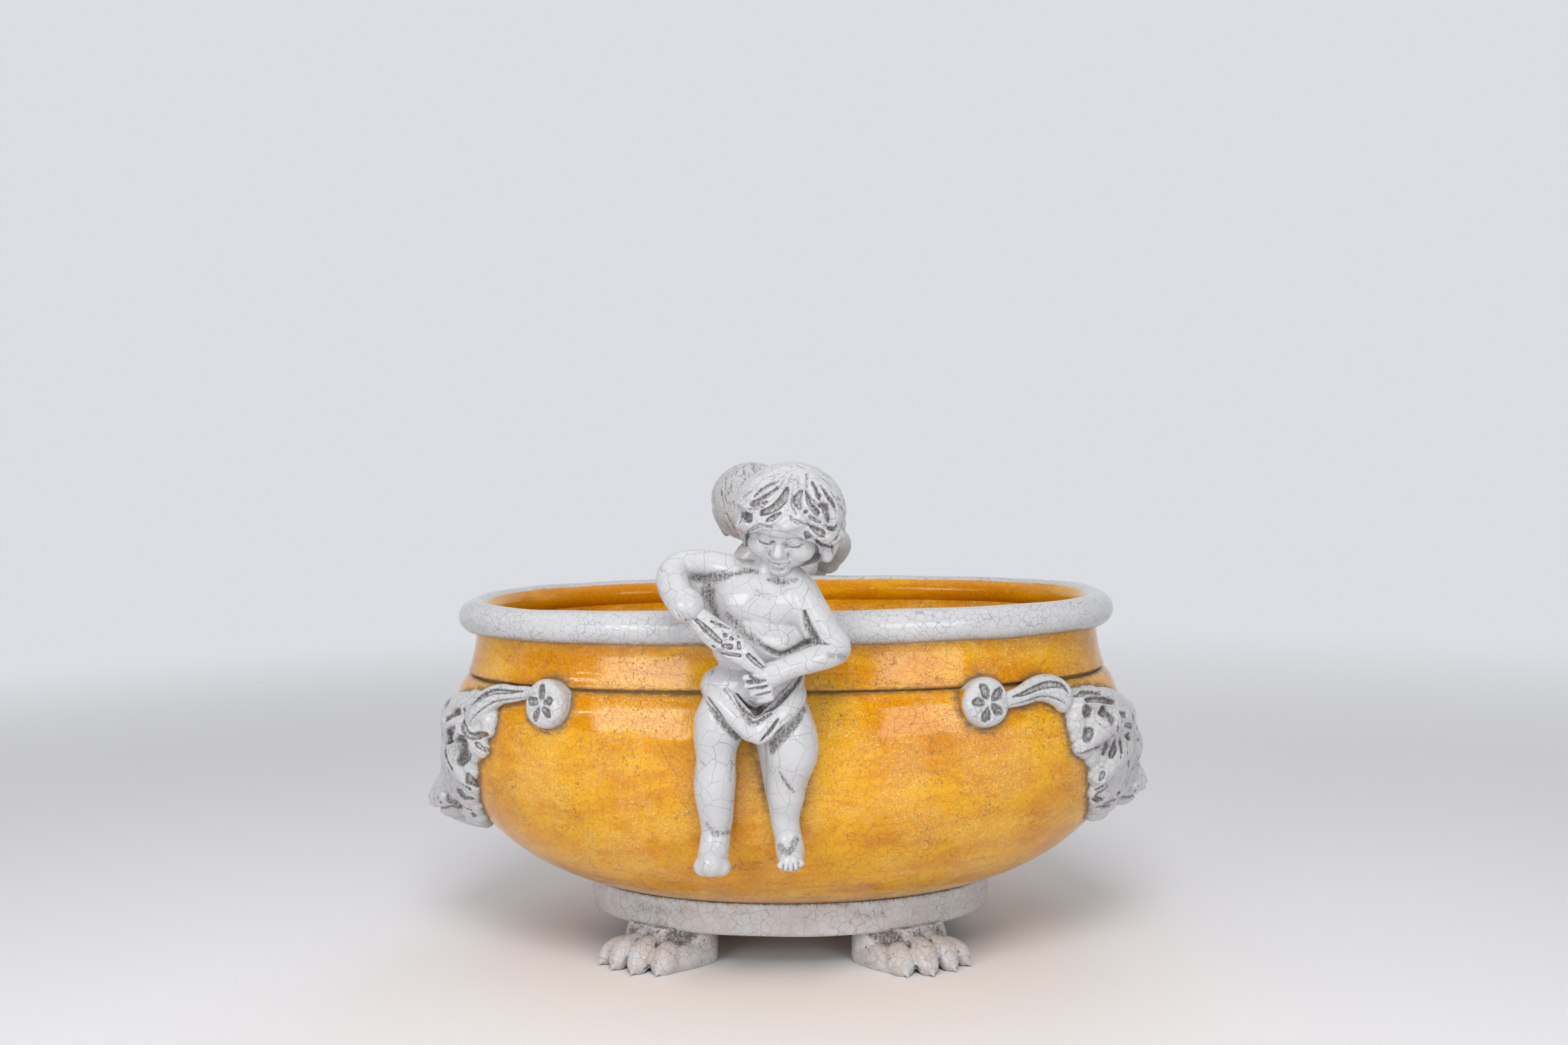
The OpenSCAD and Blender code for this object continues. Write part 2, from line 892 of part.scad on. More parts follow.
bowl();
rim_roll();
foot_ring();
front_left_foot();
front_right_foot();
rear_left_foot();
rear_right_foot();
left_lion_mask();
right_lion_mask();
front_left_rosette();
front_right_rosette();
rear_left_rosette();
rear_right_rosette();
front_left_swag();
front_right_swag();
rear_left_swag();
rear_right_swag();
front_torso();
front_head();
front_hair();
front_right_arm();
front_left_arm();
front_right_leg();
front_left_leg();
front_loincloth();
front_horn();
rear_torso();
rear_head();
rear_hair();
rear_right_arm();
rear_left_arm();
rear_right_leg();
rear_left_leg();
rear_loincloth();
rear_horn();
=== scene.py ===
"""Looks for an oval glazed planter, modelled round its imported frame."""

import json
import math

import bpy
import numpy as np
from mathutils import Matrix, Vector
from mathutils.bvhtree import BVHTree

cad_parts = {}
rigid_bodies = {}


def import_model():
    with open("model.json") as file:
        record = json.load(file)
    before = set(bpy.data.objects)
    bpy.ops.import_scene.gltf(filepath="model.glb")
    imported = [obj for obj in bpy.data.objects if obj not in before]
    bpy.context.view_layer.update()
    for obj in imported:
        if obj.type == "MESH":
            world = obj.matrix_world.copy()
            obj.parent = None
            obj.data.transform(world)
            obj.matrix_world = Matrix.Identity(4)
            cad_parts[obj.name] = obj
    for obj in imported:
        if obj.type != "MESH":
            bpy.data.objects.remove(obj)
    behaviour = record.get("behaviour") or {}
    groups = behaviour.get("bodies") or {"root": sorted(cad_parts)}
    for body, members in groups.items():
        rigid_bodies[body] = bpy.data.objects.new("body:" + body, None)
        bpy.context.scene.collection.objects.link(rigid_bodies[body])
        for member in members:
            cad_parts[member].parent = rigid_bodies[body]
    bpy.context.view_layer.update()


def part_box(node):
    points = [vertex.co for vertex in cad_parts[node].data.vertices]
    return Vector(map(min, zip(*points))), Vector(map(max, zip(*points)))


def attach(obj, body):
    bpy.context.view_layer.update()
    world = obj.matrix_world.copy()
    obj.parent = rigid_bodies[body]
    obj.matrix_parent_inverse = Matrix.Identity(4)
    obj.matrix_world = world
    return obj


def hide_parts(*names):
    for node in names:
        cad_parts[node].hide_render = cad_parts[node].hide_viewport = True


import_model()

bl_info = {
    "name": "Glazed planter",
    "version": (1, 0, 0),
    "blender": (4, 5, 0),
    "location": "View3D > Sidebar > Planter",
    "description": "An oval tin-glazed planter with lion masks, swags and child figures",
    "category": "Add Mesh",
}

MM = 0.001
BOWL_LOW, BOWL_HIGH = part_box("bowl")
ROLL_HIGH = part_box("rim_roll")[1]
RING_LOW, RING_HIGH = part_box("foot_ring")

# Shape of the bowl, as in the solids
WIDTH_SHARE = 0.67
BASE_POWER = 2.0
NECK_POWER = 2.45
ROLL_W = 25 * MM
ROLL_H = 24 * MM
ROLL_MIDDLE_Z = ROLL_HIGH[2] - ROLL_H / 2
LIP_Z = BOWL_HIGH[2]
BASE_Z = BOWL_LOW[2]
BELLY_A = BOWL_HIGH[0]
NECK_A = ROLL_HIGH[0] - ROLL_W / 2
RIM_FACE_Y = WIDTH_SHARE * NECK_A + ROLL_W / 2


# Sizes and colours that a user would change


def length(name, description, default):
    return bpy.props.FloatProperty(name=name, description=description, default=default, unit="LENGTH")


def colour(name, description, default):
    return bpy.props.FloatVectorProperty(
        name=name, description=description, subtype="COLOR", size=3, default=default
    )


class PlanterBowlSettings(bpy.types.PropertyGroup):
    """Sizes of the bowl that its box doesn't give"""

    groove_z: length("Groove height", "Height of the groove over the shoulder", 211 * MM)
    groove_a: length("Groove half length", "Half length of the bowl at its groove", 241 * MM)
    groove_depth: length("Groove depth", "How deep the groove is cut", 2.4 * MM)
    belly_z: length("Belly height", "Height of the widest place", 156 * MM)
    base_a: length("Base half length", "Half length of the flat underside", 90 * MM)
    wall: length("Wall", "Thickness of the bowl's wall", 9 * MM)
    floor: length("Floor", "Thickness of the bowl's floor", 10 * MM)
    around: bpy.props.IntProperty(
        name="Faces round", description="Faces round the bowl, the roll and the ring", default=440
    )


class PlanterGlazeSettings(bpy.types.PropertyGroup):
    """Colours of the glazes"""

    amber: colour("Amber", "Deeper tone of the yellow glaze", (0.62, 0.225, 0.0))
    lemon: colour("Lemon", "Lighter tone of the yellow glaze", (0.79, 0.39, 0.004))
    tin: colour("Tin white", "White tin glaze", (0.555, 0.555, 0.565))
    # Patina, and the painted shade in hollows, creases and where pieces meet, take this colour
    patina_and_shade: colour("Patina", "Dark wash left in the hollows", (0.075, 0.064, 0.054))


def bowl_settings():
    return bpy.context.scene.planter_bowl


def glaze_settings():
    return bpy.context.scene.planter_glaze


# Materials: a wire carries one value, and arithmetic on it adds the nodes


class Wire:
    """One value on its way through a material"""

    def __init__(self, glaze, socket):
        self.glaze = glaze
        self.socket = socket

    def math(self, operation, first, second):
        return self.glaze.node("ShaderNodeMath", [first, second], operation=operation)

    def __add__(self, other):
        return self.math("ADD", self, other)

    __radd__ = __add__

    def __mul__(self, other):
        return self.math("MULTIPLY", self, other)

    __rmul__ = __mul__

    def __sub__(self, other):
        return self.math("SUBTRACT", self, other)

    def __rsub__(self, other):
        return self.math("SUBTRACT", other, self)

    def larger(self, other):
        return self.math("MAXIMUM", self, other)


class Glaze:
    """A material being mixed"""

    def __init__(self, name):
        self.material = bpy.data.materials.new(name)
        self.material.use_nodes = True
        self.tree = self.material.node_tree
        self.shader = self.tree.nodes["Principled BSDF"]
        self.place = self.node("ShaderNodeTexCoord", [], output="Object")

    def node(self, kind, inputs, output=0, **settings):
        made = self.tree.nodes.new(kind)
        for key, value in settings.items():
            setattr(made, key, value)
        pairs = inputs.items() if isinstance(inputs, dict) else enumerate(inputs)
        for key, value in pairs:
            self.feed(made.inputs[key], value)
        return Wire(self, made.outputs[output])

    def feed(self, socket, value):
        if isinstance(value, Wire):
            self.tree.links.new(value.socket, socket)
        else:
            socket.default_value = value

    def attribute(self, name):
        return self.node("ShaderNodeAttribute", [], output="Fac", attribute_name=name)

    def height(self):
        return self.node("ShaderNodeSeparateXYZ", [self.place], output="Z")

    def rays(self, kind):
        return self.node("ShaderNodeLightPath", [], output=kind)

    def stretched(self, x, y, z):
        return self.node("ShaderNodeVectorMath", [self.place, (x, y, z)], operation="MULTIPLY")

    def noise(self, size, detail=2.0, rough=0.5, at=None, warp=0.0):
        """Cloudy values about 0.5, with clouds of about this size in metres"""
        inputs = {"Vector": at or self.place, "Scale": 1 / size, "Detail": detail}
        inputs.update({"Roughness": rough, "Distortion": warp})
        return self.node("ShaderNodeTexNoise", inputs, output="Fac")

    def step(self, value, low, high):
        """0 below low, 1 above high, and a smooth rise between"""
        inputs = {"Value": value, "From Min": low, "From Max": high}
        return self.node("ShaderNodeMapRange", inputs, interpolation_type="SMOOTHSTEP")

    def mix(self, factor, first, second):
        first, second = [v if isinstance(v, Wire) else (*v, 1.0) for v in (first, second)]
        return self.node("ShaderNodeMix", {0: factor, 6: first, 7: second}, output=2, data_type="RGBA")

    def cracks(self, cell, width, wander=0.35):
        """1 on the lines of a network with cells of this size in metres"""
        shift = self.node(
            "ShaderNodeTexNoise", {"Vector": self.place, "Scale": 0.7 / cell, "Detail": 2.0}, output="Color"
        )
        shift = self.node("ShaderNodeVectorMath", [shift, (0.5, 0.5, 0.5)], operation="SUBTRACT")
        shift = self.node("ShaderNodeVectorMath", {0: shift, "Scale": 2 * wander * cell}, operation="SCALE")
        at = self.node("ShaderNodeVectorMath", [self.place, shift], operation="ADD")
        edge = self.node(
            "ShaderNodeTexVoronoi", {"Vector": at, "Scale": 1 / cell}, output="Distance", feature="DISTANCE_TO_EDGE"
        )
        return 1 - self.step(edge, 0.25 * width / cell, width / cell)

    def finish(self, colour, rough, height, depth):
        self.feed(self.shader.inputs["Base Color"], colour)
        self.feed(self.shader.inputs["Roughness"], rough)
        bump = self.node("ShaderNodeBump", {"Height": height, "Distance": depth, "Strength": 1.0}, output="Normal")
        self.feed(self.shader.inputs["Normal"], bump)
        self.shader.inputs["IOR"].default_value = 1.5
        return self.material


class Air(Glaze):
    """The world behind the stage, whose Object coordinates are the ray's way"""

    def __init__(self, name):
        world = bpy.data.worlds.new(name)
        world.use_nodes = True
        bpy.context.scene.world = world
        self.tree = world.node_tree
        self.place = self.node("ShaderNodeTexCoord", [], output="Object")


# Tones within the glazes
YELLOW_LIGHTS, YELLOW_DARKS = (0.74, 0.38, 0.006), (0.40, 0.12, 0.002)
YELLOW_GRAIN = (0.86, 0.47, 0.008)
# Pale flecks: pits in the glaze, and painted glints on its crazing
PALE_FLECKS_AND_GLINTS = (0.88, 0.72, 0.36)
# The yellow's dirt and its painted shade take the last of these colours
YELLOW_CRACKS, YELLOW_GRIME_AND_SHADE = (0.26, 0.095, 0.008), (0.115, 0.085, 0.05)
TIN_CLOUDS, BARE_CLAY = (0.47, 0.47, 0.475), (0.47, 0.37, 0.315)
WHITE_CRACKS, FINE_CRACKS = (0.19, 0.19, 0.21), (0.22, 0.22, 0.25)


def yellow_tones(glaze):
    """Colour of the yellow glaze before any grime"""
    colours = glaze_settings()
    amber, lemon = tuple(colours.amber), tuple(colours.lemon)
    brushed = glaze.noise(24 * MM, 4.0, 0.62, glaze.stretched(0.5, 0.5, 1.6), 0.6)
    clouds = glaze.noise(110 * MM, 2.0, 0.5)
    fine = glaze.noise(2.0 * MM, 3.0, 0.7)
    tone = glaze.mix(glaze.step(clouds * 0.5 + brushed * 0.5, 0.42, 0.62), amber, lemon)
    tone = glaze.mix(glaze.step(fine, 0.48, 0.72) * 0.30, tone, YELLOW_LIGHTS)
    tone = glaze.mix(glaze.step(fine, 0.50, 0.30) * 0.42, tone, YELLOW_DARKS)
    grain = glaze.noise(1.1 * MM, 2.0, 0.6)
    tone = glaze.mix(glaze.step(grain, 0.55, 0.68) * 0.42, tone, YELLOW_GRAIN)
    return glaze.mix(glaze.step(grain, 0.45, 0.34) * 0.4, tone, YELLOW_DARKS)


def yellow_glaze():
    glaze = Glaze("yellow glaze")
    tone = yellow_tones(glaze)
    patches = glaze.noise(42 * MM, 4.0, 0.62, warp=0.5)
    # Pale flecks in drifts and along the cracks: pits in the glaze, and glints on the crazing painted pale
    drift = glaze.step(patches, 0.46, 0.60)
    flecks = glaze.step(glaze.noise(1.0 * MM, 2.0, 0.6), 0.63, 0.665)
    net = glaze.cracks(7 * MM, 0.24 * MM)
    web = glaze.cracks(1.7 * MM, 0.26 * MM)
    pale = (flecks * 0.85).larger(web * 0.16) * drift
    tone = glaze.mix(pale, tone, PALE_FLECKS_AND_GLINTS)
    tone = glaze.mix(net * (1 - drift * 0.6) * 0.45, tone, YELLOW_CRACKS)
    # Grime and painted shade in the groove, under the roll and round the pressed-on pieces, and dirt brushed over
    # the belly in streaks that thicken towards the bottom, all broken up by the brush
    grime_and_shade = glaze.attribute("grime_and_shade")
    breakup = glaze.noise(2.6 * MM, 5.0, 0.78, glaze.stretched(0.6, 0.6, 1.3))
    dust = glaze.step(glaze.noise(1.9 * MM, 3.0, 0.75), 0.56, 0.62)
    spots = dust * glaze.step(glaze.noise(30 * MM, 4.0, 0.7, warp=0.9), 0.49, 0.57)
    streaks = glaze.noise(15 * MM, 5.0, 0.75, glaze.stretched(0.4, 0.4, 3.6), 0.3)
    low = 1 - glaze.step(glaze.height(), 48 * MM, 118 * MM)
    brushed = glaze.step(streaks + low * 0.15, 0.60, 0.80) * glaze.step(breakup, 0.36, 0.56)
    dirt_and_shade = glaze.step(grime_and_shade + (breakup - 0.5) * 1.9 * glaze.step(grime_and_shade, 0.02, 0.4), 0.30, 1.05)
    dirt_and_shade = dirt_and_shade.larger(spots * 0.85).larger(brushed * 0.55)
    tone = glaze.mix(dirt_and_shade * 0.86, tone, YELLOW_GRIME_AND_SHADE)
    rough = 0.055 + dirt_and_shade * 0.35 + glaze.noise(9 * MM, 2.0) * 0.06 + drift * 0.03
    # The rings that the thrower's fingers left, strongest on the neck and the shoulder
    upper = glaze.step(glaze.height(), 165 * MM, 200 * MM)
    thrown = glaze.noise(11 * MM, 2.0, 0.5, glaze.stretched(0.1, 0.1, 1)) * (0.25 + upper * 0.75)
    ripple = glaze.noise(20 * MM, 2.0) * 0.5 + thrown * 0.8 + glaze.noise(3.4 * MM, 2.0) * 0.05
    return glaze.finish(tone, rough, ripple - net * 0.06 - pale * 0.03 - dirt_and_shade * 0.07, 0.5 * MM)


def white_glaze(name, cell, warm=0.0):
    """Tin glaze with its craze lines, rubbed back to the clay where it is warm"""
    glaze = Glaze(name)
    colours = glaze_settings()
    tin, patina_and_shade = tuple(colours.tin), tuple(colours.patina_and_shade)
    clouds = glaze.noise(30 * MM, 3.0, 0.55)
    tone = glaze.mix(glaze.step(clouds, 0.42, 0.70) * 0.30, tin, TIN_CLOUDS)
    clay = glaze.noise(11 * MM, 4.0, 0.65, warp=0.5)
    tone = glaze.mix(glaze.step(clay, 0.36, 0.66) * warm, tone, BARE_CLAY)
    net = glaze.cracks(cell, 0.26 * MM, 0.26)
    web = glaze.cracks(0.5 * cell, 0.18 * MM, 0.3)
    shown = glaze.step(glaze.noise(24 * MM, 3.0), 0.42, 0.56)
    tone = glaze.mix(net * (0.34 + shown * 0.26), tone, WHITE_CRACKS)
    tone = glaze.mix(web * shown * 0.26, tone, FINE_CRACKS)
    # Grime brushed into the hollows, along with painted shade there, and wiped off the high places, which leaves its
    # bristle marks
    grime_and_shade = glaze.attribute("grime_and_shade")
    bristle = glaze.noise(3.0 * MM, 3.0, 0.7, glaze.stretched(1.7, 1.0, 0.5), 0.4)
    breakup = glaze.noise(1.5 * MM, 4.0, 0.75) * 0.6 + bristle * 0.4
    dust = glaze.step(glaze.noise(0.9 * MM, 3.0, 0.7), 0.58, 0.68)
    spots = dust * glaze.step(glaze.noise(14 * MM, 3.0, 0.65), 0.60 - 0.12 * warm, 0.74)
    dirt_and_shade = glaze.step(grime_and_shade + (breakup - 0.5) * 2.2 * glaze.step(grime_and_shade, 0.02, 0.4), 0.30, 0.98)
    dirt_and_shade = dirt_and_shade.larger(spots * 0.8) * (0.62 + glaze.step(breakup, 0.38, 0.60) * 0.38)
    tone = glaze.mix(dirt_and_shade * 0.94, tone, patina_and_shade)
    spill = glaze.step(glaze.attribute("spill") + (glaze.noise(6 * MM, 3.0) - 0.5) * 0.5, 0.42, 0.58)
    tone = glaze.mix(spill * (1 - dirt_and_shade * 0.7), tone, yellow_tones(glaze))
    rough = 0.07 + dirt_and_shade * 0.38 + warm * 0.18 + glaze.noise(7 * MM, 2.0) * 0.06
    ripple = glaze.noise(11 * MM, 2.0) * 0.45 + glaze.noise(2.6 * MM, 2.0) * 0.07
    return glaze.finish(tone, rough, ripple - net * 0.08 - dirt_and_shade * 0.12, 0.5 * MM)


# The oval that the bowl, the roll and the ring share


def ramp(value, reach):
    """0 below zero, 1 from reach on, and an even rise between"""
    return np.clip(value / reach, 0, 1)


def quarter(share):
    """A quarter circle, from 1 at its start to 0 at its end"""
    return np.sqrt(np.clip(1 - share**2, 0, 1))


def shoulder_z():
    """Height where the shoulder ends, just under the groove"""
    return bowl_settings().groove_z - 2 * MM


def power_at(z):
    """The oval is an ellipse at the base and squarer at the neck"""
    return BASE_POWER + (NECK_POWER - BASE_POWER) * ramp(z - BASE_Z, shoulder_z() - BASE_Z)


def outside_a(z):
    """Half length of the bowl's outside under the groove"""
    s = bowl_settings()
    low = s.base_a + (BELLY_A - s.base_a) * quarter((s.belly_z - z) / (s.belly_z - BASE_Z))
    high = s.groove_a + (BELLY_A - s.groove_a) * quarter((z - s.belly_z) / (shoulder_z() - s.belly_z))
    return np.where(z < s.belly_z, low, high)


def oval_share(x, y, a, p):
    """How far out a place lies, as a share of the oval with half length a and power p"""
    return (np.abs(x / a) ** p + np.abs(y / (WIDTH_SHARE * a)) ** p) ** (1 / p)


def oval(turn, half, inset, z):
    """Places round the oval at these turns: half length, drawn in by inset, at height z"""
    p = 2 / power_at(z)
    c, s = np.cos(turn), np.sin(turn)
    x = (half - inset) * np.sign(c) * np.abs(c) ** p
    y = (WIDTH_SHARE * half - inset) * np.sign(s) * np.abs(s) ** p
    return np.stack([x, y, z + 0 * turn], axis=-1)


def side_y(x, z):
    """Distance of the bowl's long side from its middle at x, z"""
    a, p = outside_a(z), power_at(z)
    return WIDTH_SHARE * a * np.clip(1 - np.abs(x / a) ** p, 0, 1) ** (1 / p)


def end_x(y, z):
    """Distance of the bowl's end from its middle at y, z"""
    a, p = outside_a(z), power_at(z)
    return a * np.clip(1 - np.abs(y / (WIDTH_SHARE * a)) ** p, 0, 1) ** (1 / p)


# Mesh helpers


def deselect():
    bpy.ops.object.select_all(action="DESELECT")


def activate(piece):
    deselect()
    piece.select_set(True)
    bpy.context.view_layer.objects.active = piece


def places(piece):
    at = np.empty(len(piece.data.vertices) * 3)
    piece.data.vertices.foreach_get("co", at)
    return at.reshape(-1, 3)


def put(piece, at):
    piece.data.vertices.foreach_set("co", np.ascontiguousarray(at).ravel())
    piece.data.update()


def normals(piece):
    out = np.empty(len(piece.data.vertices) * 3)
    piece.data.vertex_normals.foreach_get("vector", out)
    return out.reshape(-1, 3)


def paint(piece, name, values):
    layer = piece.data.attributes.get(name) or piece.data.attributes.new(name, "FLOAT", "POINT")
    layer.data.foreach_set("value", np.clip(values, 0, 1).astype(np.float32))


def painted(piece, name):
    layer = piece.data.attributes.get(name)
    out = np.zeros(len(piece.data.vertices))
    if layer:
        layer.data.foreach_get("value", out)
    return out


def add_grime_and_shade(piece, values):
    """Add dirt and painted shade where there is less of them yet"""
    paint(piece, "grime_and_shade", np.maximum(painted(piece, "grime_and_shade"), values))


def push_out(piece, far):
    """Move each place this far along its normal"""
    put(piece, places(piece) + normals(piece) * far[:, None])


def within(at, low, high):
    """Which places lie in a box"""
    return np.nonzero(np.all((at > low) & (at < high), axis=1))[0]


def modify(piece, kind, **settings):
    activate(piece)
    made = piece.modifiers.new(kind.title(), kind)
    for key, value in settings.items():
        setattr(made, key, value)
    bpy.ops.object.modifier_apply(modifier=made.name)


def out_facing(piece):
    activate(piece)
    bpy.ops.object.mode_set(mode="EDIT")
    bpy.ops.mesh.select_all(action="SELECT")
    bpy.ops.mesh.normals_make_consistent(inside=False)
    bpy.ops.object.mode_set(mode="OBJECT")


def hand_in(piece, name, material, *nodes, slot="white_glaze"):
    """Name a finished piece, glaze it, and let it stand for its CAD nodes"""
    piece.name = name
    piece.data.name = name
    piece.data.materials.clear()
    piece.data.materials.append(material)
    for layer in ("grime_and_shade", "spill"):
        paint(piece, layer, painted(piece, layer))
    activate(piece)
    bpy.ops.object.shade_smooth()
    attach(piece, "root")
    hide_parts(*nodes)


def wobble(at, size, seed):
    """A slow, even waviness, as hand-built clay has: about -1 to 1"""
    draw = np.random.default_rng(seed)
    out = np.zeros(len(at))
    waves = 9
    for _ in range(waves):
        way = draw.normal(size=3)
        way /= np.linalg.norm(way)
        out += np.sin(at @ way * (2 * np.pi / size) * draw.uniform(0.6, 1.6) + draw.uniform(0, 2 * np.pi))
    return out / waves**0.5


def stacked_ovals(rows):
    """A closed shell: a circle extruded once for each row, then each ring settled on its oval"""
    deselect()
    around = bowl_settings().around
    bpy.ops.mesh.primitive_circle_add(vertices=around, radius=1, fill_type="NGON", location=(0, 0, 0))
    piece = bpy.context.object
    bpy.ops.object.mode_set(mode="EDIT")
    for _ in rows[1:]:
        bpy.ops.mesh.extrude_region_move(TRANSFORM_OT_translate={"value": (0, 0, 1)})
    bpy.ops.object.mode_set(mode="OBJECT")
    at = places(piece)
    ring = np.rint(at[:, 2]).astype(int)
    turn = np.arctan2(at[:, 1], at[:, 0])
    half, inset, z = np.array(rows)[ring].T
    put(piece, oval(turn, half, inset, z))
    return piece


def ring_of(section):
    """A closed loop with this section, given as rows of (half length, inset, z)"""
    deselect()
    bpy.ops.mesh.primitive_torus_add(
        major_segments=bowl_settings().around, minor_segments=len(section), major_radius=4, minor_radius=1
    )
    piece = bpy.context.object
    at = places(piece)
    turn = np.arctan2(at[:, 1], at[:, 0])
    tilt = np.arctan2(at[:, 2], np.hypot(at[:, 0], at[:, 1]) - 4)
    step = np.rint(tilt / (2 * np.pi) * len(section)).astype(int) % len(section)
    half, inset, z = np.array(section)[step].T
    put(piece, oval(turn, half, inset, z))
    return piece


# The bowl


def bowl_outside():
    """Rows from the base to the lip: half length and height"""
    s = bowl_settings()
    rows = [(s.base_a * share, BASE_Z) for share in (0.5, 0.97)]
    for i in range(41):
        t = math.pi / 2 * i / 40
        half = s.base_a + (BELLY_A - s.base_a) * math.sin(t)
        rows.append((half, s.belly_z - (s.belly_z - BASE_Z) * math.cos(t)))
    for i in range(1, 15):
        t = math.pi / 2 * i / 14 * 0.97
        half = s.groove_a + (BELLY_A - s.groove_a) * math.cos(t)
        rows.append((half, s.belly_z + (shoulder_z() - s.belly_z) * math.sin(t)))
    # The groove is scored between the shoulder and a soft bead at the foot of the neck
    bead = 1.6 * MM
    groove = ((-1.2, 0.2), (-0.5, -0.5), (0.0, -1.0), (0.5, -0.5), (1.1, 0.6), (2.0, 1.0), (3.2, 0.9), (4.6, 0.5))
    for rise, out in groove:
        rows.append((s.groove_a + out * (s.groove_depth if out < 0 else bead), s.groove_z + rise * MM))
    neck_low = s.groove_z + 7 * MM
    for i in range(15):
        share = i / 14
        swell = 3.6 * MM * max(0, 1 - 1.4 * share) ** 1.5
        rows.append((NECK_A + swell, neck_low + (LIP_Z - neck_low) * share))
    return rows


def bowl_inside():
    """Rows from the lip to the floor: half length of the outside there, and height"""
    s = bowl_settings()
    rows = [(NECK_A, LIP_Z), (NECK_A, s.groove_z + 8 * MM), (NECK_A + 3 * MM, s.groove_z - 4 * MM)]
    for i in range(1, 9):
        t = math.pi / 2 * i / 9
        z = s.groove_z - (s.groove_z - s.belly_z) * (1 - math.cos(t)) - 4 * MM * (1 - i / 9)
        rows.append((NECK_A + (BELLY_A - NECK_A) * math.sin(t), z))
    low = s.base_a + s.wall
    for i in range(41):
        t = math.pi / 2 * (1 - i / 40)
        rows.append((low + (BELLY_A - low) * math.sin(t), s.belly_z - (s.belly_z - BASE_Z - s.floor) * math.cos(t)))
    return rows


class PLANTER_OT_bowl(bpy.types.Operator):
    """Throw the bowl with its groove, its neck and its hollow"""

    bl_idname = "planter.bowl"
    bl_label = "Bowl"

    def execute(self, context):
        s = bowl_settings()
        outside, inside = bowl_outside(), bowl_inside()
        rows = [(a, 0, z) for a, z in outside] + [(a, s.wall, z) for a, z in inside]
        rows.append((s.base_a * 0.5, 0, BASE_Z + s.floor))
        piece = stacked_ovals(rows)
        at = places(piece)
        z = at[:, 2]
        # The wall is a little uneven, but not where the ring and the roll meet it
        free = ramp(z - BASE_Z - 12 * MM, 30 * MM) * ramp(LIP_Z - 6 * MM - z, 20 * MM)
        push_out(piece, 0.45 * MM * free * wobble(at, 150 * MM, 3))
        out_facing(piece)
        # Darkening outside: grime and painted shade in the groove and just over it, under the roll, just over the
        # ring and round the pressed-on pieces, with smudges of dirt; inside an even light wash
        groove = np.exp(-(((z - s.groove_z) / (2.8 * MM)) ** 2)) * 1.1
        over = np.exp(-(((z - s.groove_z - 2 * MM) / (7 * MM)) ** 2)) * 0.5
        under_roll = ramp(z - LIP_Z + 12 * MM, 12 * MM) * 0.8
        over_ring = ramp(RING_HIGH[2] + 14 * MM - z, 16 * MM) * 0.8
        out = normals(piece)
        outer = out[:, 0] * at[:, 0] * WIDTH_SHARE**2 + out[:, 1] * at[:, 1] > 0
        smudge = np.clip(wobble(at, 90 * MM, 4) - 0.8, 0, 0.34)
        grime_and_shade = np.maximum.reduce([groove, over, under_roll, over_ring, self.halo_of_grime_and_shade(piece), smudge])
        paint(piece, "grime_and_shade", np.where(outer, grime_and_shade, 0.12))
        hand_in(piece, "glazed_bowl", yellow_glaze(), "bowl", slot="yellow_glaze")
        return {"FINISHED"}

    def halo_of_grime_and_shade(self, piece):
        """Grime and painted shade on the bowl round each piece that is pressed on it"""
        at = places(piece)
        near = np.full(len(at), 1.0)
        reach = 16 * MM
        for other in bpy.context.scene.objects:
            if not other.name.endswith(("_flower", "_garland", "_lion_head", "_child", "_curls")):
                continue
            skin = BVHTree.FromPolygons(places(other).tolist(), [face.vertices for face in other.data.polygons])
            for index in within(at, places(other).min(0) - reach, places(other).max(0) + reach):
                gap = skin.find_nearest(Vector(at[index]), reach)[3]
                if gap is not None:
                    near[index] = min(near[index], gap)
        return np.exp(-near / (6 * MM)) * 1.1


class PLANTER_OT_rim(bpy.types.Operator):
    """Lay the white roll round the lip"""

    bl_idname = "planter.rim"
    bl_label = "Rim roll"

    def execute(self, context):
        steps = 40
        section = []
        for i in range(steps):
            t = 2 * math.pi * i / steps
            section.append((NECK_A, -ROLL_W / 2 * math.cos(t), ROLL_MIDDLE_Z + ROLL_H / 2 * math.sin(t)))
        piece = ring_of(section)
        at = places(piece)
        push_out(piece, 0.35 * MM * wobble(at, 90 * MM, 11) - 0.3 * MM)
        out_facing(piece)
        x, y, z = at.T
        out = oval_share(x, y, NECK_A, NECK_POWER) - 1
        # The yellow runs up inside, and dirt with painted shade lies under the outer half
        paint(piece, "spill", ramp(-out * NECK_A - 2.5 * MM, 5 * MM) * ramp(ROLL_HIGH[2] - 1.2 * MM - z, 3 * MM))
        paint(piece, "grime_and_shade", ramp(ROLL_MIDDLE_Z - 6 * MM - z, 5 * MM) * (out > 0) * 0.7)
        hand_in(piece, "white_rim_roll", white_glaze("rim glaze", 5.6 * MM), "rim_roll")
        return {"FINISHED"}


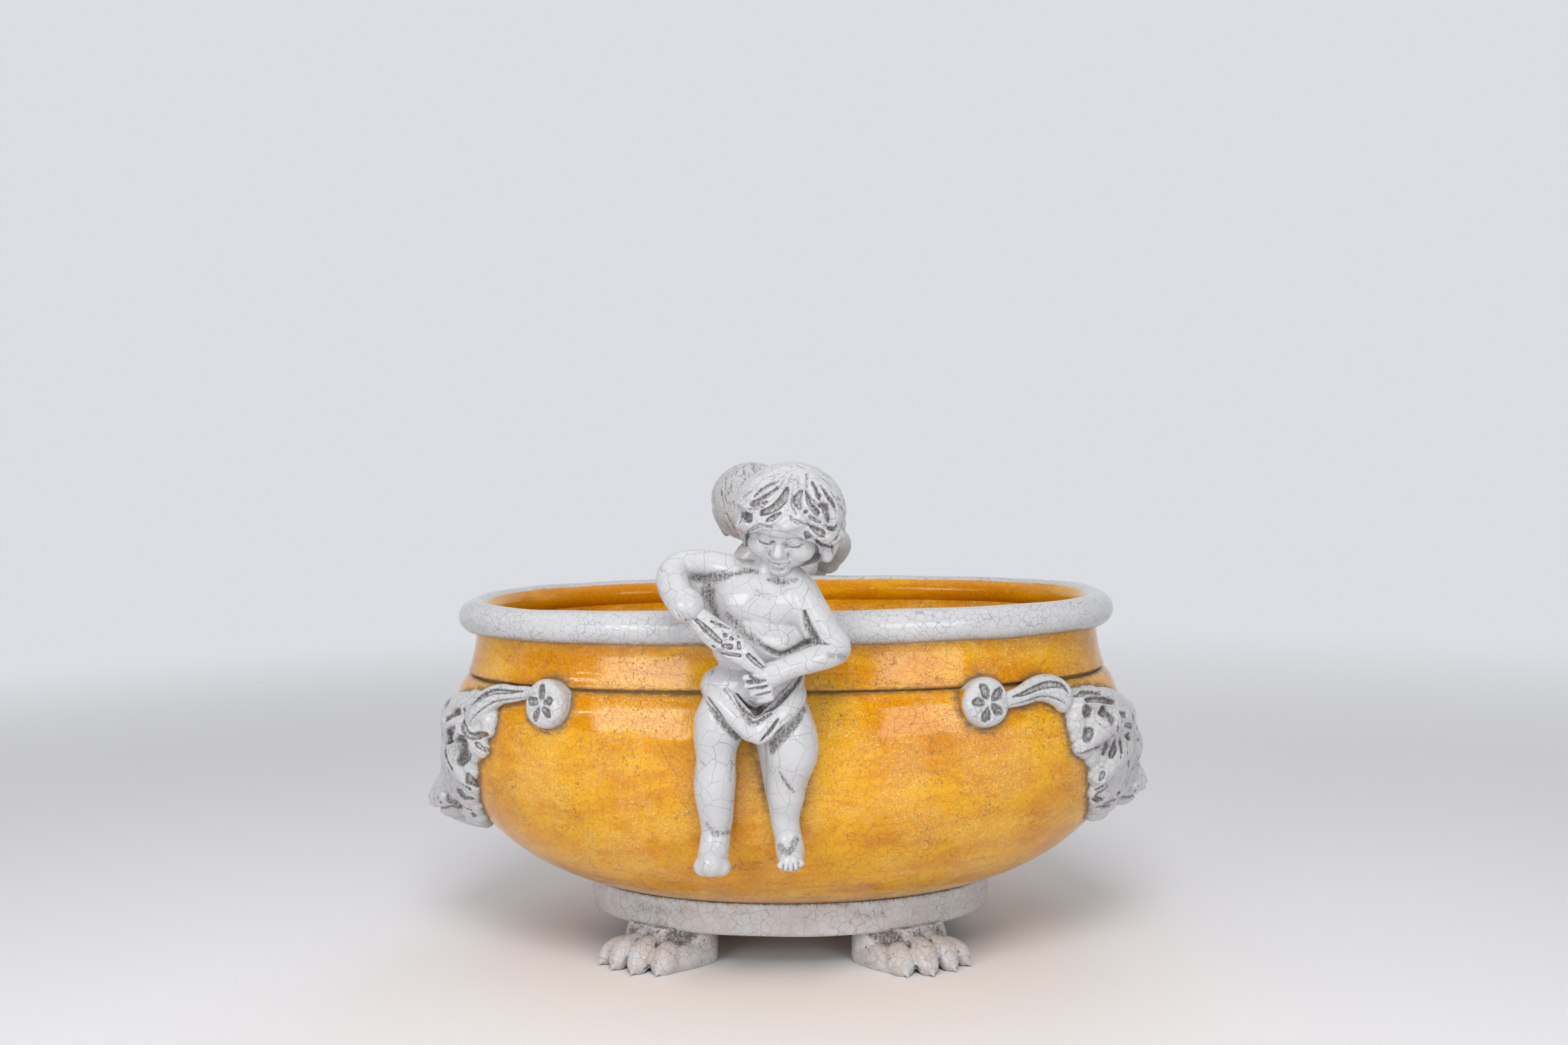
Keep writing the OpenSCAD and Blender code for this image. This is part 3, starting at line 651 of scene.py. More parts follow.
class PLANTER_OT_ring(bpy.types.Operator):
    """Set the white ring under the bowl"""

    bl_idname = "planter.ring"
    bl_label = "Foot ring"

    # How much wider and lower than its solid it stands, as in the photo
    WIDER = 1.2 * MM
    LOWER = 3.4 * MM

    def execute(self, context):
        s = bowl_settings()
        half, low, top = RING_HIGH[0] + self.WIDER, RING_LOW[2] - self.LOWER, RING_HIGH[2]
        inner = half - 20 * MM
        edge = 4 * MM
        section = []
        for i in range(9):
            t = math.pi / 2 * i / 8
            section.append((half - edge + edge * math.cos(t), 0, low + edge - edge * math.sin(t)))
        for share in (0.25, 0.5, 0.75, 1):
            section.append((half - edge + (inner - half + edge) * share, 0, low))
        inner_top = s.belly_z - (s.belly_z - BASE_Z) * math.cos(math.asin((inner - s.base_a) / (BELLY_A - s.base_a)))
        for share in (0.5, 1):
            section.append((inner, 0, low + (inner_top + 1 * MM - low) * share))
        for share in (0.25, 0.5, 0.75):
            section.append((inner + (half - inner) * share, 0, inner_top + (top - inner_top) * share + 0.6 * MM))
        for share in (1, 0.94, 0.8, 0.6, 0.4, 0.2):
            section.append((half + 0.4 * MM * math.sin(math.pi * share), 0, low + edge + (top - low - edge) * share))
        piece = ring_of(section)
        at = places(piece)
        push_out(piece, 0.3 * MM * wobble(at, 70 * MM, 5))
        out_facing(piece)
        z = at[:, 2]
        # Darker at the foot and at the top, where the ring meets the bowl, with smudges of dirt
        foot = ramp(low + 4 * MM - z, 5 * MM) * 0.55
        seam = ramp(z - top + 4 * MM, 4 * MM) * 0.8
        smudge = np.clip(wobble(at, 60 * MM, 21) - 0.55, 0, 0.5) * ramp(top - z, 8 * MM)
        paint(piece, "grime_and_shade", np.maximum.reduce([foot, seam, smudge]))
        hand_in(piece, "white_foot_ring", white_glaze("foot glaze", 7 * MM, 0.45), "foot_ring")
        return {"FINISHED"}


# Clay: balls melted together, then carved as a modeller's tool would


def in_metres(at):
    return at * MM


class Clay:
    """Balls and limbs of clay, given in millimetres, that melt into one piece where set_down puts them"""

    def __init__(self, set_down=in_metres):
        self.set_down = set_down
        self.lumps = []

    def ball(self, at, r, turn=None):
        """A ball, or with three radii an egg, whose axes are the columns of turn"""
        axes = np.eye(3) if turn is None else np.array(turn)
        self.lumps.append((np.array(at, float), axes * (np.ones(3) * r)))

    def limb(self, rows, flat=1.0):
        """A limb through rows of x, y, z and radius"""
        for x, y, z, r in smooth_rows(rows):
            self.ball((x, y, z), (r, r * flat, r))

    def melt(self, voxel, rounds):
        """One skin round all the balls, with voxels of this size and so many rounds of smoothing"""
        coarse, fine = round_ball(2), round_ball(3)
        places_made, faces_made, count = [], [], 0
        for middle, axes in self.lumps:
            at, faces = fine if np.abs(axes).max() > 5 else coarse
            places_made.append(middle + at @ axes.T)
            faces_made.append(faces + count)
            count += len(at)
        at = self.set_down(np.concatenate(places_made))
        faces = np.concatenate(faces_made)
        mesh = bpy.data.meshes.new("clay")
        mesh.vertices.add(len(at))
        mesh.vertices.foreach_set("co", np.ascontiguousarray(at).ravel())
        mesh.loops.add(faces.size)
        mesh.loops.foreach_set("vertex_index", faces.ravel())
        mesh.polygons.add(len(faces))
        mesh.polygons.foreach_set("loop_start", np.arange(0, faces.size, 3))
        mesh.update(calc_edges=True)
        piece = bpy.data.objects.new("clay", mesh)
        bpy.context.collection.objects.link(piece)
        modify(piece, "REMESH", mode="VOXEL", voxel_size=voxel)
        ease(piece, rounds)
        return piece


def smooth_rows(rows, share=0.3):
    """More rows on a smooth path through these, each a share of its radius from the next"""
    rows = np.array(rows, float)
    ends = np.concatenate([2 * rows[:1] - rows[1:2], rows, 2 * rows[-1:] - rows[-2:-1]])
    out = []
    for a, b, c, d in zip(ends, ends[1:], ends[2:], ends[3:]):
        steps = max(2, math.ceil(np.linalg.norm((c - b)[:3]) / (share * min(b[3], c[3]))))
        square, cube = 2 * a - 5 * b + 4 * c - d, 3 * b - a - 3 * c + d
        for t in np.arange(steps) / steps:
            out.append(0.5 * (2 * b + (c - a) * t + square * t**2 + cube * t**3))
    return np.array([*out, rows[-1]])


def round_ball(cuts):
    """Places and faces of a ball of radius 1"""
    deselect()
    bpy.ops.mesh.primitive_ico_sphere_add(subdivisions=cuts, radius=1)
    ball = bpy.context.object
    at = places(ball)
    faces = np.array([face.vertices[:] for face in ball.data.polygons])
    bpy.data.objects.remove(ball)
    return at, faces


def edges_of(piece):
    ends = np.empty(len(piece.data.edges) * 2, dtype=int)
    piece.data.edges.foreach_get("vertices", ends)
    return ends.reshape(-1, 2)


def evened(values, ends, rounds):
    """Values spread over their neighbours this many times"""
    count = np.bincount(ends.ravel(), minlength=len(values))
    for _ in range(rounds):
        columns = []
        for column in values.T:
            total = np.bincount(ends[:, 0], column[ends[:, 1]], len(column))
            total += np.bincount(ends[:, 1], column[ends[:, 0]], len(column))
            columns.append(total / count)
        values = np.stack(columns, axis=1)
    return values


def skin_of(piece):
    return BVHTree.FromObject(piece, bpy.context.evaluated_depsgraph_get())


def settle(skin, starts, ways, wide):
    """Set a stroke's places down on a skin, each falling its own way: rows of x, y, z and half width"""
    out = []
    for start, way, w in zip(starts, ways, wide):
        hit = skin.ray_cast(Vector(start), Vector(way))[0]
        if hit:
            out.append((*hit, w))
    return out


# How far a stroke is felt, in half widths
STROKE_REACH = 1.14


def carve(piece, strokes):
    """Cut strokes into a piece, or raise them where the depth is below zero.
    A stroke is its rows of x, y, z and half width, its depth, the dirt and painted shade left in it, and whether it
    is crisp"""
    at = places(piece)
    sink, lift = np.zeros(len(at)), np.zeros(len(at))
    grime_and_shade = painted(piece, "grime_and_shade")
    for rows, depth, shade, crisp in strokes:
        if len(rows) == 0:
            continue
        rows = np.array(rows)
        wide = rows[:, 3].max() * STROKE_REACH
        near = within(at, rows[:, :3].min(0) - wide, rows[:, :3].max(0) + wide)
        far = np.full(len(near), 9.0)
        for a, b in zip(rows, rows[1:] if len(rows) > 1 else rows):
            along = b[:3] - a[:3]
            t = np.clip((at[near] - a[:3]) @ along / max(along @ along, 1e-12), 0, 1)
            gap = np.linalg.norm(at[near] - a[:3] - t[:, None] * along, axis=1)
            far = np.minimum(far, gap / (a[3] + (b[3] - a[3]) * t))
        if crisp:
            fall = np.clip(1.1 - far**3, 0, 1)
            stain_and_shade = ramp(1.08 - far, 0.3) * (0.62 + 0.38 * ramp(far - 0.25, 0.45))
        else:
            fall = np.clip(1 - far**2, 0, 1) ** 1.5
            stain_and_shade = np.clip(1 - far**2, 0, 1)
        if depth > 0:
            sink[near] = np.maximum(sink[near], depth * fall)
        else:
            lift[near] = np.maximum(lift[near], -depth * fall)
        grime_and_shade[near] = np.maximum(grime_and_shade[near], shade * stain_and_shade)
    push_out(piece, lift - sink)
    paint(piece, "grime_and_shade", grime_and_shade)


def ease(piece, rounds):
    """Smooth a piece, as wet hands take the sharpness off clay"""
    modify(piece, "SMOOTH", factor=0.5, iterations=rounds)


def patina_and_shade_in_hollows(piece, reach, depth, most=0.8):
    """Patina and painted shade wherever the surface lies under its surroundings"""
    at, out, ends = places(piece), normals(piece), edges_of(piece)
    under = np.einsum("ij,ij->i", evened(at, ends, reach) - at, out)
    add_grime_and_shade(piece, evened((ramp(under, depth) * most)[:, None], ends, 2)[:, 0])


def how_deep(at):
    """How far places lie inside the bowl's outside, as a share of its half length there"""
    x, y, z = at.T
    return oval_share(x, y, outside_a(z), power_at(z))


# How far a pressed-on piece reaches into the bowl's wall
PRESSED_IN = 4 * MM


def trim_back(piece):
    """Flatten what would lie deeper in the bowl's wall"""
    at = places(piece)
    z = np.clip(at[:, 2], BASE_Z + 5 * MM, bowl_settings().groove_z - 3 * MM)
    share = how_deep(np.column_stack([at[:, :2], z]))
    least = 1 - PRESSED_IN / (WIDTH_SHARE * outside_a(z))
    at[:, :2] *= np.where(share < least, least / np.maximum(share, 0.01), 1)[:, None]
    put(piece, at)


def copy_of(piece):
    """Another piece with its own mesh"""
    other = piece.copy()
    other.data = piece.data.copy()
    bpy.context.collection.objects.link(other)
    return other


def send_across(piece, side, front):
    """Mirror a front right piece: side -1 swaps left and right, front -1 swaps front and back"""
    put(piece, places(piece) * (side, front, 1))
    if side * front < 0:
        piece.data.flip_normals()


# Where a piece of the front right quarter goes: its names there, then side and front
QUARTERS = (("front", "right", 1, 1), ("front", "left", -1, 1), ("rear", "right", 1, -1), ("rear", "left", -1, -1))


# Paws


class PLANTER_OT_paws(bpy.types.Operator):
    """Model one lion's paw and set four of them under the ring"""

    bl_idname = "planter.paws"
    bl_label = "Paws"

    # Toes of the right front paw from its outer to its inner side, in mm from the middle of the
    # planter: root, knuckle and tip, each with its place and its size
    TOES = (
        ((108, -68, 12, 7), (125, -80, 9.5, 7.8), (130.5, -85.5, 5.5, 6)),
        ((102, -74, 14, 8), (115.5, -89.5, 11.5, 9.4), (120, -96.5, 6, 7)),
        ((94, -80, 14, 8.5), (101, -98.5, 12, 10.2), (104.5, -106, 6.5, 7.8)),
        ((82, -84, 10, 10), (84, -99.5, 8.5, 11.5), (86.5, -106.5, 6.5, 9)),
    )

    def execute(self, context):
        clay = Clay()
        # A broad ankle fills the corner under the ring, and its inner wall runs down to the toes
        clay.limb([(69, -72, 27, 19), (68, -73, 12, 19)])
        clay.limb([(85, -68, 27, 22), (84, -70, 13, 23)])
        clay.limb([(99, -62, 27, 17), (101, -64, 14, 19)])
        clay.limb([(64, -76, 6, 15), (72, -88, 6, 13), (82, -98, 6, 11)])
        for root, knuckle, tip in self.TOES:
            clay.limb([root, knuckle, tip])
            ahead = np.array(tip[:2]) - knuckle[:2]
            ahead = ahead / np.linalg.norm(ahead)
            # A short claw at the toe's end
            x, y = np.array(tip[:2]) + ahead * tip[3]
            claw = ((-4, 5, 3), (-1, 3, 2.2), (0.8, 1.4, 1))
            clay.limb([(x + far * ahead[0], y + far * ahead[1], z, r) for far, z, r in claw])
        piece = clay.melt(0.8 * MM, 5)
        at = places(piece)
        at[:, 2] = np.clip(at[:, 2], 0, RING_LOW[2] - 0.4 * MM)
        put(piece, at)
        strokes = []
        # Clefts between the toes, darkened with dirt and painted shade
        for (_, knuckle, tip), (_, knuckle_2, tip_2) in zip(self.TOES, self.TOES[1:]):
            b, c = ((np.array(p) + q) / 2 for p, q in ((knuckle, knuckle_2), (tip, tip_2)))
            cleft = [(b[0] - 3, b[1] + 6, 20, 2.4), (b[0], b[1] - 2, 15, 2.6)]
            cleft += [(c[0] - 1, c[1] + 1, 9, 2.6), (c[0], c[1] - 3, 3, 2.6)]
            strokes.append((smooth_rows(cleft) * MM, 1.5 * MM, 1.0, False))
        # Brushed dirt and painted shade in the corner under the ring
        for x, y, r in ((70, -92, 5), (78, -88, 6), (92, -84, 5), (108, -74, 5)):
            brush = smooth_rows([(x - 5, y, 25, 1.5 * r), (x + 5, y - 1, 20, 1.5 * r)]) * MM
            strokes.append((brush, 0.4 * MM, 0.95, False))
        carve(piece, strokes)
        patina_and_shade_in_hollows(piece, 16, 1.5 * MM, 0.85)
        # Pits in the clay, most of them in the hollows
        draw = np.random.default_rng(7)
        at, chance = places(piece), painted(piece, "grime_and_shade") + 0.04
        pits = []
        for index in draw.choice(len(at), 340, replace=False, p=chance / chance.sum()):
            if at[index, 2] > 3 * MM:
                rows = [(*at[index], draw.uniform(0.6, 1.3) * MM)]
                pits.append((rows, draw.uniform(0.3, 0.7) * MM, 1.0, False))
        carve(piece, pits)
        # Painted shade along the bottom, where the toes meet the floor
        add_grime_and_shade(piece, ramp(3 * MM - places(piece)[:, 2], 3 * MM) * 0.5)
        material = white_glaze("paw glaze", 6 * MM, 0.5)
        for face, hand, side, front in QUARTERS:
            foot = copy_of(piece)
            send_across(foot, side, front)
            hand_in(foot, f"{face}_{hand}_paw", material, f"{face}_{hand}_foot")
        bpy.data.objects.remove(piece)
        return {"FINISHED"}


# Rosettes and swags

# Places of the rosettes along the bowl, and how far round and back they lean
ROSETTES = {"right": (143 * MM, 25), "left": (157 * MM, 30)}
ROSETTE_Z = 201 * MM
ROSETTE_LEAN = 8


class PLANTER_OT_rosettes(bpy.types.Operator):
    """Press a thick clay button with a five-petalled flower, and set four on the shoulder"""

    bl_idname = "planter.rosettes"
    bl_label = "Rosettes"

    def button(self, draw, spin):
        deselect()
        bpy.ops.mesh.primitive_cylinder_add(vertices=48, radius=17.2 * MM, depth=21 * MM, location=(0, 0, -1 * MM))
        piece = bpy.context.object
        bpy.ops.object.transform_apply(location=True)
        modify(piece, "BEVEL", width=6.2 * MM, segments=4, limit_method="ANGLE", angle_limit=math.radians(40))
        modify(piece, "REMESH", mode="VOXEL", voxel_size=0.65 * MM)
        ease(piece, 5)
        push_out(piece, 0.5 * MM * wobble(places(piece), 34 * MM, 21))
        strokes = []
        petals = 5
        # Just under the top of the button
        top = 8.3 * MM
        for i in range(petals):
            turn = 2 * math.pi * (i + draw.uniform(-0.13, 0.13)) / petals + spin
            long = draw.uniform(0.85, 1.08)
            rows = []
            for out, wide in ((2.4, 1.7), (5.4, 3.3), (8.8, 4.2), (11.2, 3.0)):
                place = Vector((out * long * MM, draw.uniform(-0.5, 0.5) * MM, top))
                rows.append((*(Matrix.Rotation(turn, 3, "Z") @ place), wide * MM * draw.uniform(0.8, 1.1)))
            # The petal is cut, and darkened with dirt and painted shade
            strokes.append((np.array(rows), draw.uniform(2.2, 3.0) * MM, 1.0, True))
        strokes.append((np.array([(0, 0, top, 2.4 * MM)]), -1.6 * MM, 0.3, False))
        carve(piece, strokes)
        ease(piece, 2)
        x, y, z = places(piece).T
        # Darker round the button's foot, where it meets the bowl
        add_grime_and_shade(piece, ramp(np.hypot(x, y) - 15.5 * MM, 3 * MM) * ramp(3 * MM - z, 5 * MM) * 0.5)
        return piece

    def execute(self, context):
        draw = np.random.default_rng(4)
        material = white_glaze("rosette glaze", 6 * MM)
        for face, hand, side, front in QUARTERS:
            piece = self.button(draw, 0.3 + draw.uniform(-0.4, 0.4))
            x, spin = ROSETTES[hand]
            # The button's axis turns to face -Y, then round and back with the shoulder
            lean = Matrix.Rotation(-math.radians(ROSETTE_LEAN), 3, "X")
            turn = Matrix.Rotation(math.radians(spin), 3, "Z") @ lean @ Matrix.Rotation(math.pi / 2, 3, "X")
            local = places(piece)
            put(piece, local @ np.array(turn).T + (x, -side_y(x, ROSETTE_Z), ROSETTE_Z))
            send_across(piece, side, front)
            # The yellow runs over one edge of its side
            paint(piece, "spill", ramp(local[:, 0] * -side - 11 * MM, 5 * MM) * ramp(4 * MM - local[:, 2], 4 * MM))
            trim_back(piece)
            hand_in(piece, f"{face}_{hand}_flower", material, f"{face}_{hand}_rosette")
        return {"FINISHED"}


class PLANTER_OT_swags(bpy.types.Operator):
    """Hang a short thick swag from each rosette to the mane"""

    bl_idname = "planter.swags"
    bl_label = "Swags"

    # Rows of x, rise above the rosette's middle, radius and lift off the bowl, in mm
    RIGHT = (
        (154, 0, 5.8, 2), (162, 1.8, 6.4, 2.5), (168, 3.2, 7.2, 3), (176, 6, 8.6, 3.5),
        (183, 6.8, 9.8, 4), (190, 5, 10.4, 4), (196, 0.5, 9.6, 3.5), (198, -4, 7.6, 2.5),
    )
    LEFT = (
        (166, 5.5, 5, 2), (173, 6.4, 5.2, 2), (182, 5.4, 6, 3), (194, 4, 7.8, 3.5),
        (203, -1, 9.2, 4), (211, -8, 9.8, 4), (216, -15, 9, 3.5), (217, -19, 7.2, 2.5),
    )

    def on_bowl(self, x, rise, lift):
        """A place on the shoulder in metres, lifted off it, and the wall's facing there"""
        x, z = x * MM, ROSETTE_Z + rise * MM
        lift = lift * MM
        step = 2 * MM
        slope = (side_y(x + step, z) - side_y(x - step, z)) / (2 * step)
        out = np.array([-slope, -1.0, 0.0]) / math.hypot(slope, 1)
        return np.array([x, -side_y(x, z), z]) + out * lift, out

    def execute(self, context):
        material = white_glaze("swag glaze", 6 * MM)
        for face, hand, side, front in QUARTERS:
            table = self.RIGHT if hand == "right" else self.LEFT
            clay = Clay()
            rows = smooth_rows([(x, rise, lift, r) for x, rise, r, lift in table])
            for x, rise, lift, r in rows:
                at, out = self.on_bowl(x, rise, lift)
                clay.ball(at / MM, (r, 0.8 * r, r), np.column_stack([np.cross(out, (0, 0, 1)), out, (0, 0, 1)]))
            piece = clay.melt(0.7 * MM, 5)
            skin = skin_of(piece)
            strokes = []
            # A deep fold and a fine one along it, darkened with dirt and painted shade
            high = rows[len(rows) // 6 : -len(rows) // 10]
            for shift, wide, depth, crisp, shade in ((0.36, 0.36, 2.8, True, 1.0), (-0.55, 0.14, 1.2, False, 0.9)):
                starts, ways, widths = [], [], []
                for i, (x, rise, _, r) in enumerate(high):
                    swell = math.sin(math.pi * (i + 0.5) / len(high))
                    at, out = self.on_bowl(x, rise + shift * r, 30)
                    starts.append(at)
                    ways.append(-out)
                    widths.append(r * wide * MM * (0.25 + 0.75 * swell))
                strokes.append((settle(skin, starts, ways, widths), depth * MM, shade, crisp))
            carve(piece, strokes)
            ease(piece, 2)
            patina_and_shade_in_hollows(piece, 10, 1.0 * MM, 0.6)
            # The yellow runs up its lower edge
            low = ramp(1.016 - how_deep(places(piece)), 0.012)
            paint(piece, "spill", low * ramp(0.2 - normals(piece)[:, 2], 0.6))
            send_across(piece, side, front)
            trim_back(piece)
            hand_in(piece, f"{face}_{hand}_garland", material, f"{face}_{hand}_swag")
        return {"FINISHED"}


# Lion masks

# Locks on one side of a mask: rows of across, up, out and radius in mm, from its middle
LOCKS = (
    ((12, 27, -1, 9.5), (46, 36, -1, 11), (84, 50, 0, 12), (111, 53, 0, 10)),
    ((54, 30, -1, 10.5), (80, 39, 2, 12.5), (102, 35, 3, 12), (111, 25, 0, 8)),
    ((54, 13, -1, 10.5), (70, 16, 1, 11.5), (84, 11, 2, 11.5), (91, 1, 1, 9.5)),
    ((54, -8, -2, 9.5), (67, -10, 0, 10.5), (78, -15, 1, 9.5)),
    ((44, -32, -2, 8.5), (54, -35, -1, 9), (64, -38, 0, 8.5)),
)
# Half of the mane's outline: across and up
MANE = (
    (0, 37), (20, 40), (40, 47), (60, 54), (80, 61), (98, 65), (112, 64), (121, 57), (124, 46), (121, 35),
    (116, 25), (112, 17), (107, 13), (104, 5), (99, -4), (94, -13), (87, -21), (80, -30), (71, -39), (60, -46),
    (46, -52), (28, -57), (0, -58),
)
FORELOCK = ((6, 29, -1, 9), (7, 22, 2, 9.5), (7, 14, 5, 9.5))
# The face, likewise; the muzzle stands furthest out
FACE = (
    ((3, 10, 7, 10), (3, 0, 9, 10), (3, -8, 11.5, 8.5), (3, -16, 18, 7.5), (3, -25, 26, 7), (3, -32, 31, 7)),
    ((10, 5, 7, 8), (22, 5, 5, 8), (35, 1, 2, 8)),
    ((22, -5, 5.5, 7), (23, -5, 5.5, 7)),
    ((8, -31, 23, 9), (9, -39, 21, 9.5), (14, -36, 13, 11)),
    ((3, -45, 20, 8), (3, -51, 11, 8), (2, -55, 4, 7)),
    ((20, -15, 5, 11.5), (33, -19, 1, 12.5), (44, -22, -3, 11)),
    ((16, -45, 4, 10), (30, -37, 1, 11.5), (44, -30, -3, 10)),
)
# Hollows of the mane and the face: rows of across, up and half width, then depth and
# whether their edge is crisp. The mask's own left half has across below zero.
LEFT_HOLLOWS = (
    (((-112, 61, 1.6), (-104, 62, 2.3), (-96, 60.5, 1.5)), 2.2, True),
    (((-109, 57.5, 1.4), (-102, 57.5, 2.2), (-93, 54.5, 2.2), (-86, 52, 1.2)), 3.2, True),
    (((-110.5, 51, 3.2), (-109, 48, 3.6)), 3.4, True),
    (((-99, 47, 3.8), (-96.5, 43, 4.2)), 3.8, True),
    (((-111, 35.5, 3.2), (-112, 31, 3)), 3.4, True),
    (((-95, 29, 2.3), (-94, 23, 3.1), (-96.5, 18, 2.1)), 2.6, True),
    (((-85, 23.5, 1.6), (-88, 19, 2.6), (-91, 14.5, 1.7)), 2.4, True),
    (((-79, 24.5, 1.1), (-82.5, 19, 1.6), (-85, 12.5, 1.1)), 2, True),
    (((-74, 21, 1), (-77, 13, 1.3)), 1.6, True),
    (((-92, 36.5, 1), (-90, 31, 1.2)), 1.3, True),
    (((-106, 42.5, 0.9), (-103.5, 37.5, 1), (-96, 39, 0.8)), 0.7, False),
    (((-113, 19, 1.5), (-105, 23, 2), (-97, 26, 1.7)), 3, True),
    (((-95, 2, 1.9), (-95, -2, 1.7)), 1.4, True),
    (((-80, -1, 1.3), (-88, -4, 1.6), (-91, -10, 1.2)), 1.6, True),
    (((-84, -9, 1.2), (-88.5, -13.5, 1.5), (-87, -18, 1.2)), 1.6, True),
    (((-85, -21, 2.5), (-82, -23, 2.4)), 3, True),
    (((-78, -30, 1.2), (-70, -31, 1.3), (-60, -34, 0.9)), 1.1, True),
    (((-77, -26, 1), (-66, -27, 1.3), (-56, -30, 0.9)), 1.1, True),
    (((-86, 44, 2.1), (-80, 42, 2.1)), 2.2, True),
    (((-82, 35, 1.4), (-70, 32, 1.9), (-56, 29, 1.5)), 2, True),
    (((-56, 37, 1.6), (-44, 31, 2.1)), 2, True),
    (((-71, 23.5, 2), (-62, 23, 2.4)), 2.2, True),
    (((-86, 39, 1), (-88, 34, 1.2)), 1.2, True),
    (((-38, 41, 1.8), (-30, 36, 2.6), (-26, 29, 1.6)), 2.2, True),
    (((-46, 21, 1.5), (-42, 15, 2.2), (-44, 9, 1.4)), 2, True),
    (((-62, 5, 1.3), (-56, 0, 1.9), (-55, -7, 1.3)), 1.8, True),
    (((-66, -17, 1.2), (-60, -21, 1.7), (-52, -24, 1.2)), 1.6, True),
)
RIGHT_HOLLOWS = (
    (((86, 43, 2), (92, 47, 2.9), (97, 50.5, 2)), 2.8, True),
    (((54, 26, 2), (62, 30, 2.9), (72, 34, 2.2)), 2.8, True),
    (((76, 25, 2.2), (86, 30, 3.5), (96, 36, 3.4), (99, 38.5, 2.2)), 3.2, True),
    (((95, 15, 4.6), (100, 22, 6.8), (105, 29, 5.2)), 4.2, True),
    (((78, 20, 1.3), (83, 14, 1.7), (88.5, 6.5, 1.2)), 1.8, True),
    (((84, -1, 1.8), (89, -4, 2.7), (92, -8, 2)), 2.4, True),
    (((75, -12, 1.7), (81, -15, 2.7), (86, -18, 2)), 2.4, True),
    (((98, 3, 2.2), (96.5, -2, 3), (97, -5, 2.1)), 2.6, True),
    (((17, -28, 1.3), (20, -33, 1.6), (25, -37, 1.2)), 1.4, True),
    (((22, -41, 1.1), (36, -39, 1.5), (56, -33, 1.1)), 1.3, True),
    (((60, -31, 1), (72, -33, 1.2)), 1.1, True),
    (((70, -38, 1.6), (65, -41, 1.6)), 1.3, True),
    (((102, 52, 1.7), (105, 42, 2.3), (110, 35, 2.4), (117, 36, 2)), 2.6, True),
    (((113, 29, 1.8), (116, 24, 1.6)), 2, True),
    (((42, 46, 1.8), (32, 42, 2.6), (24, 35, 1.6)), 2.4, True),
    (((60, 47, 2), (70, 51, 2.7), (80, 55, 1.8)), 2.6, True),
    (((46, 19, 1.5), (52, 12, 2.2), (54, 4, 1.4)), 2, True),
    (((62, 9, 1.3), (68, 2, 1.9), (66, -6, 1.3)), 1.8, True),
    (((54, -14, 1.3), (62, -19, 1.7), (70, -25, 1.2)), 1.6, True),
)
# On both halves: the forelock's strands, the brow, the eye, the tear line, the nostril,
# the mouth, the whisker pits and the edge of the cheek
BOTH_HOLLOWS = (
    (((2.5, 34, 1.2), (3.5, 26, 1.8), (2.5, 17, 1.2)), 1.7, True),
    (((11, 36, 1.2), (13, 28, 1.8), (12, 19, 1.2)), 1.7, True),
    (((20, 36, 1.1), (21, 29, 1.6), (20, 21, 1.1)), 1.6, True),
    (((9, 10, 1), (20, 12, 1.4), (33, 8, 1)), 1.2, False),
    (((13, -3, 1.2), (22, 0.8, 1.6), (33, -2, 1.2)), 1.6, False),
    (((15, -6, 1), (23, -9.5, 1.4), (32, -4.5, 1)), 1.3, False),
    (((11, -4, 1.8), (12.5, -8, 1.7)), 1.6, False),
    (((12, -11, 1.3), (14, -18, 1.8), (18, -25, 1.3)), 1.4, False),
    (((2.8, -34, 1.5), (6, -32.5, 1.8)), 1.8, True),
    (((0.5, -38, 1.3), (8, -42, 1.7), (18, -41, 1.6), (27, -37, 1.1)), 2.1, False),
    (((10.5, -33.5, 0.9), (11, -33.5, 0.9)), 0.9, True),
    (((14, -31, 0.8), (14.5, -31, 0.8)), 0.9, True),
    (((14.5, -36, 0.8), (15, -36, 0.8)), 0.9, True),
    (((18, -33.5, 0.8), (18.5, -33.5, 0.8)), 0.9, True),
    (((46, -6, 1.3), (53, -14, 1.9), (52, -28, 1.4)), 1.9, False),
    (((33, -9, 1.2), (38, -14, 1.5), (39, -22, 1.2)), 0.8, False),
)


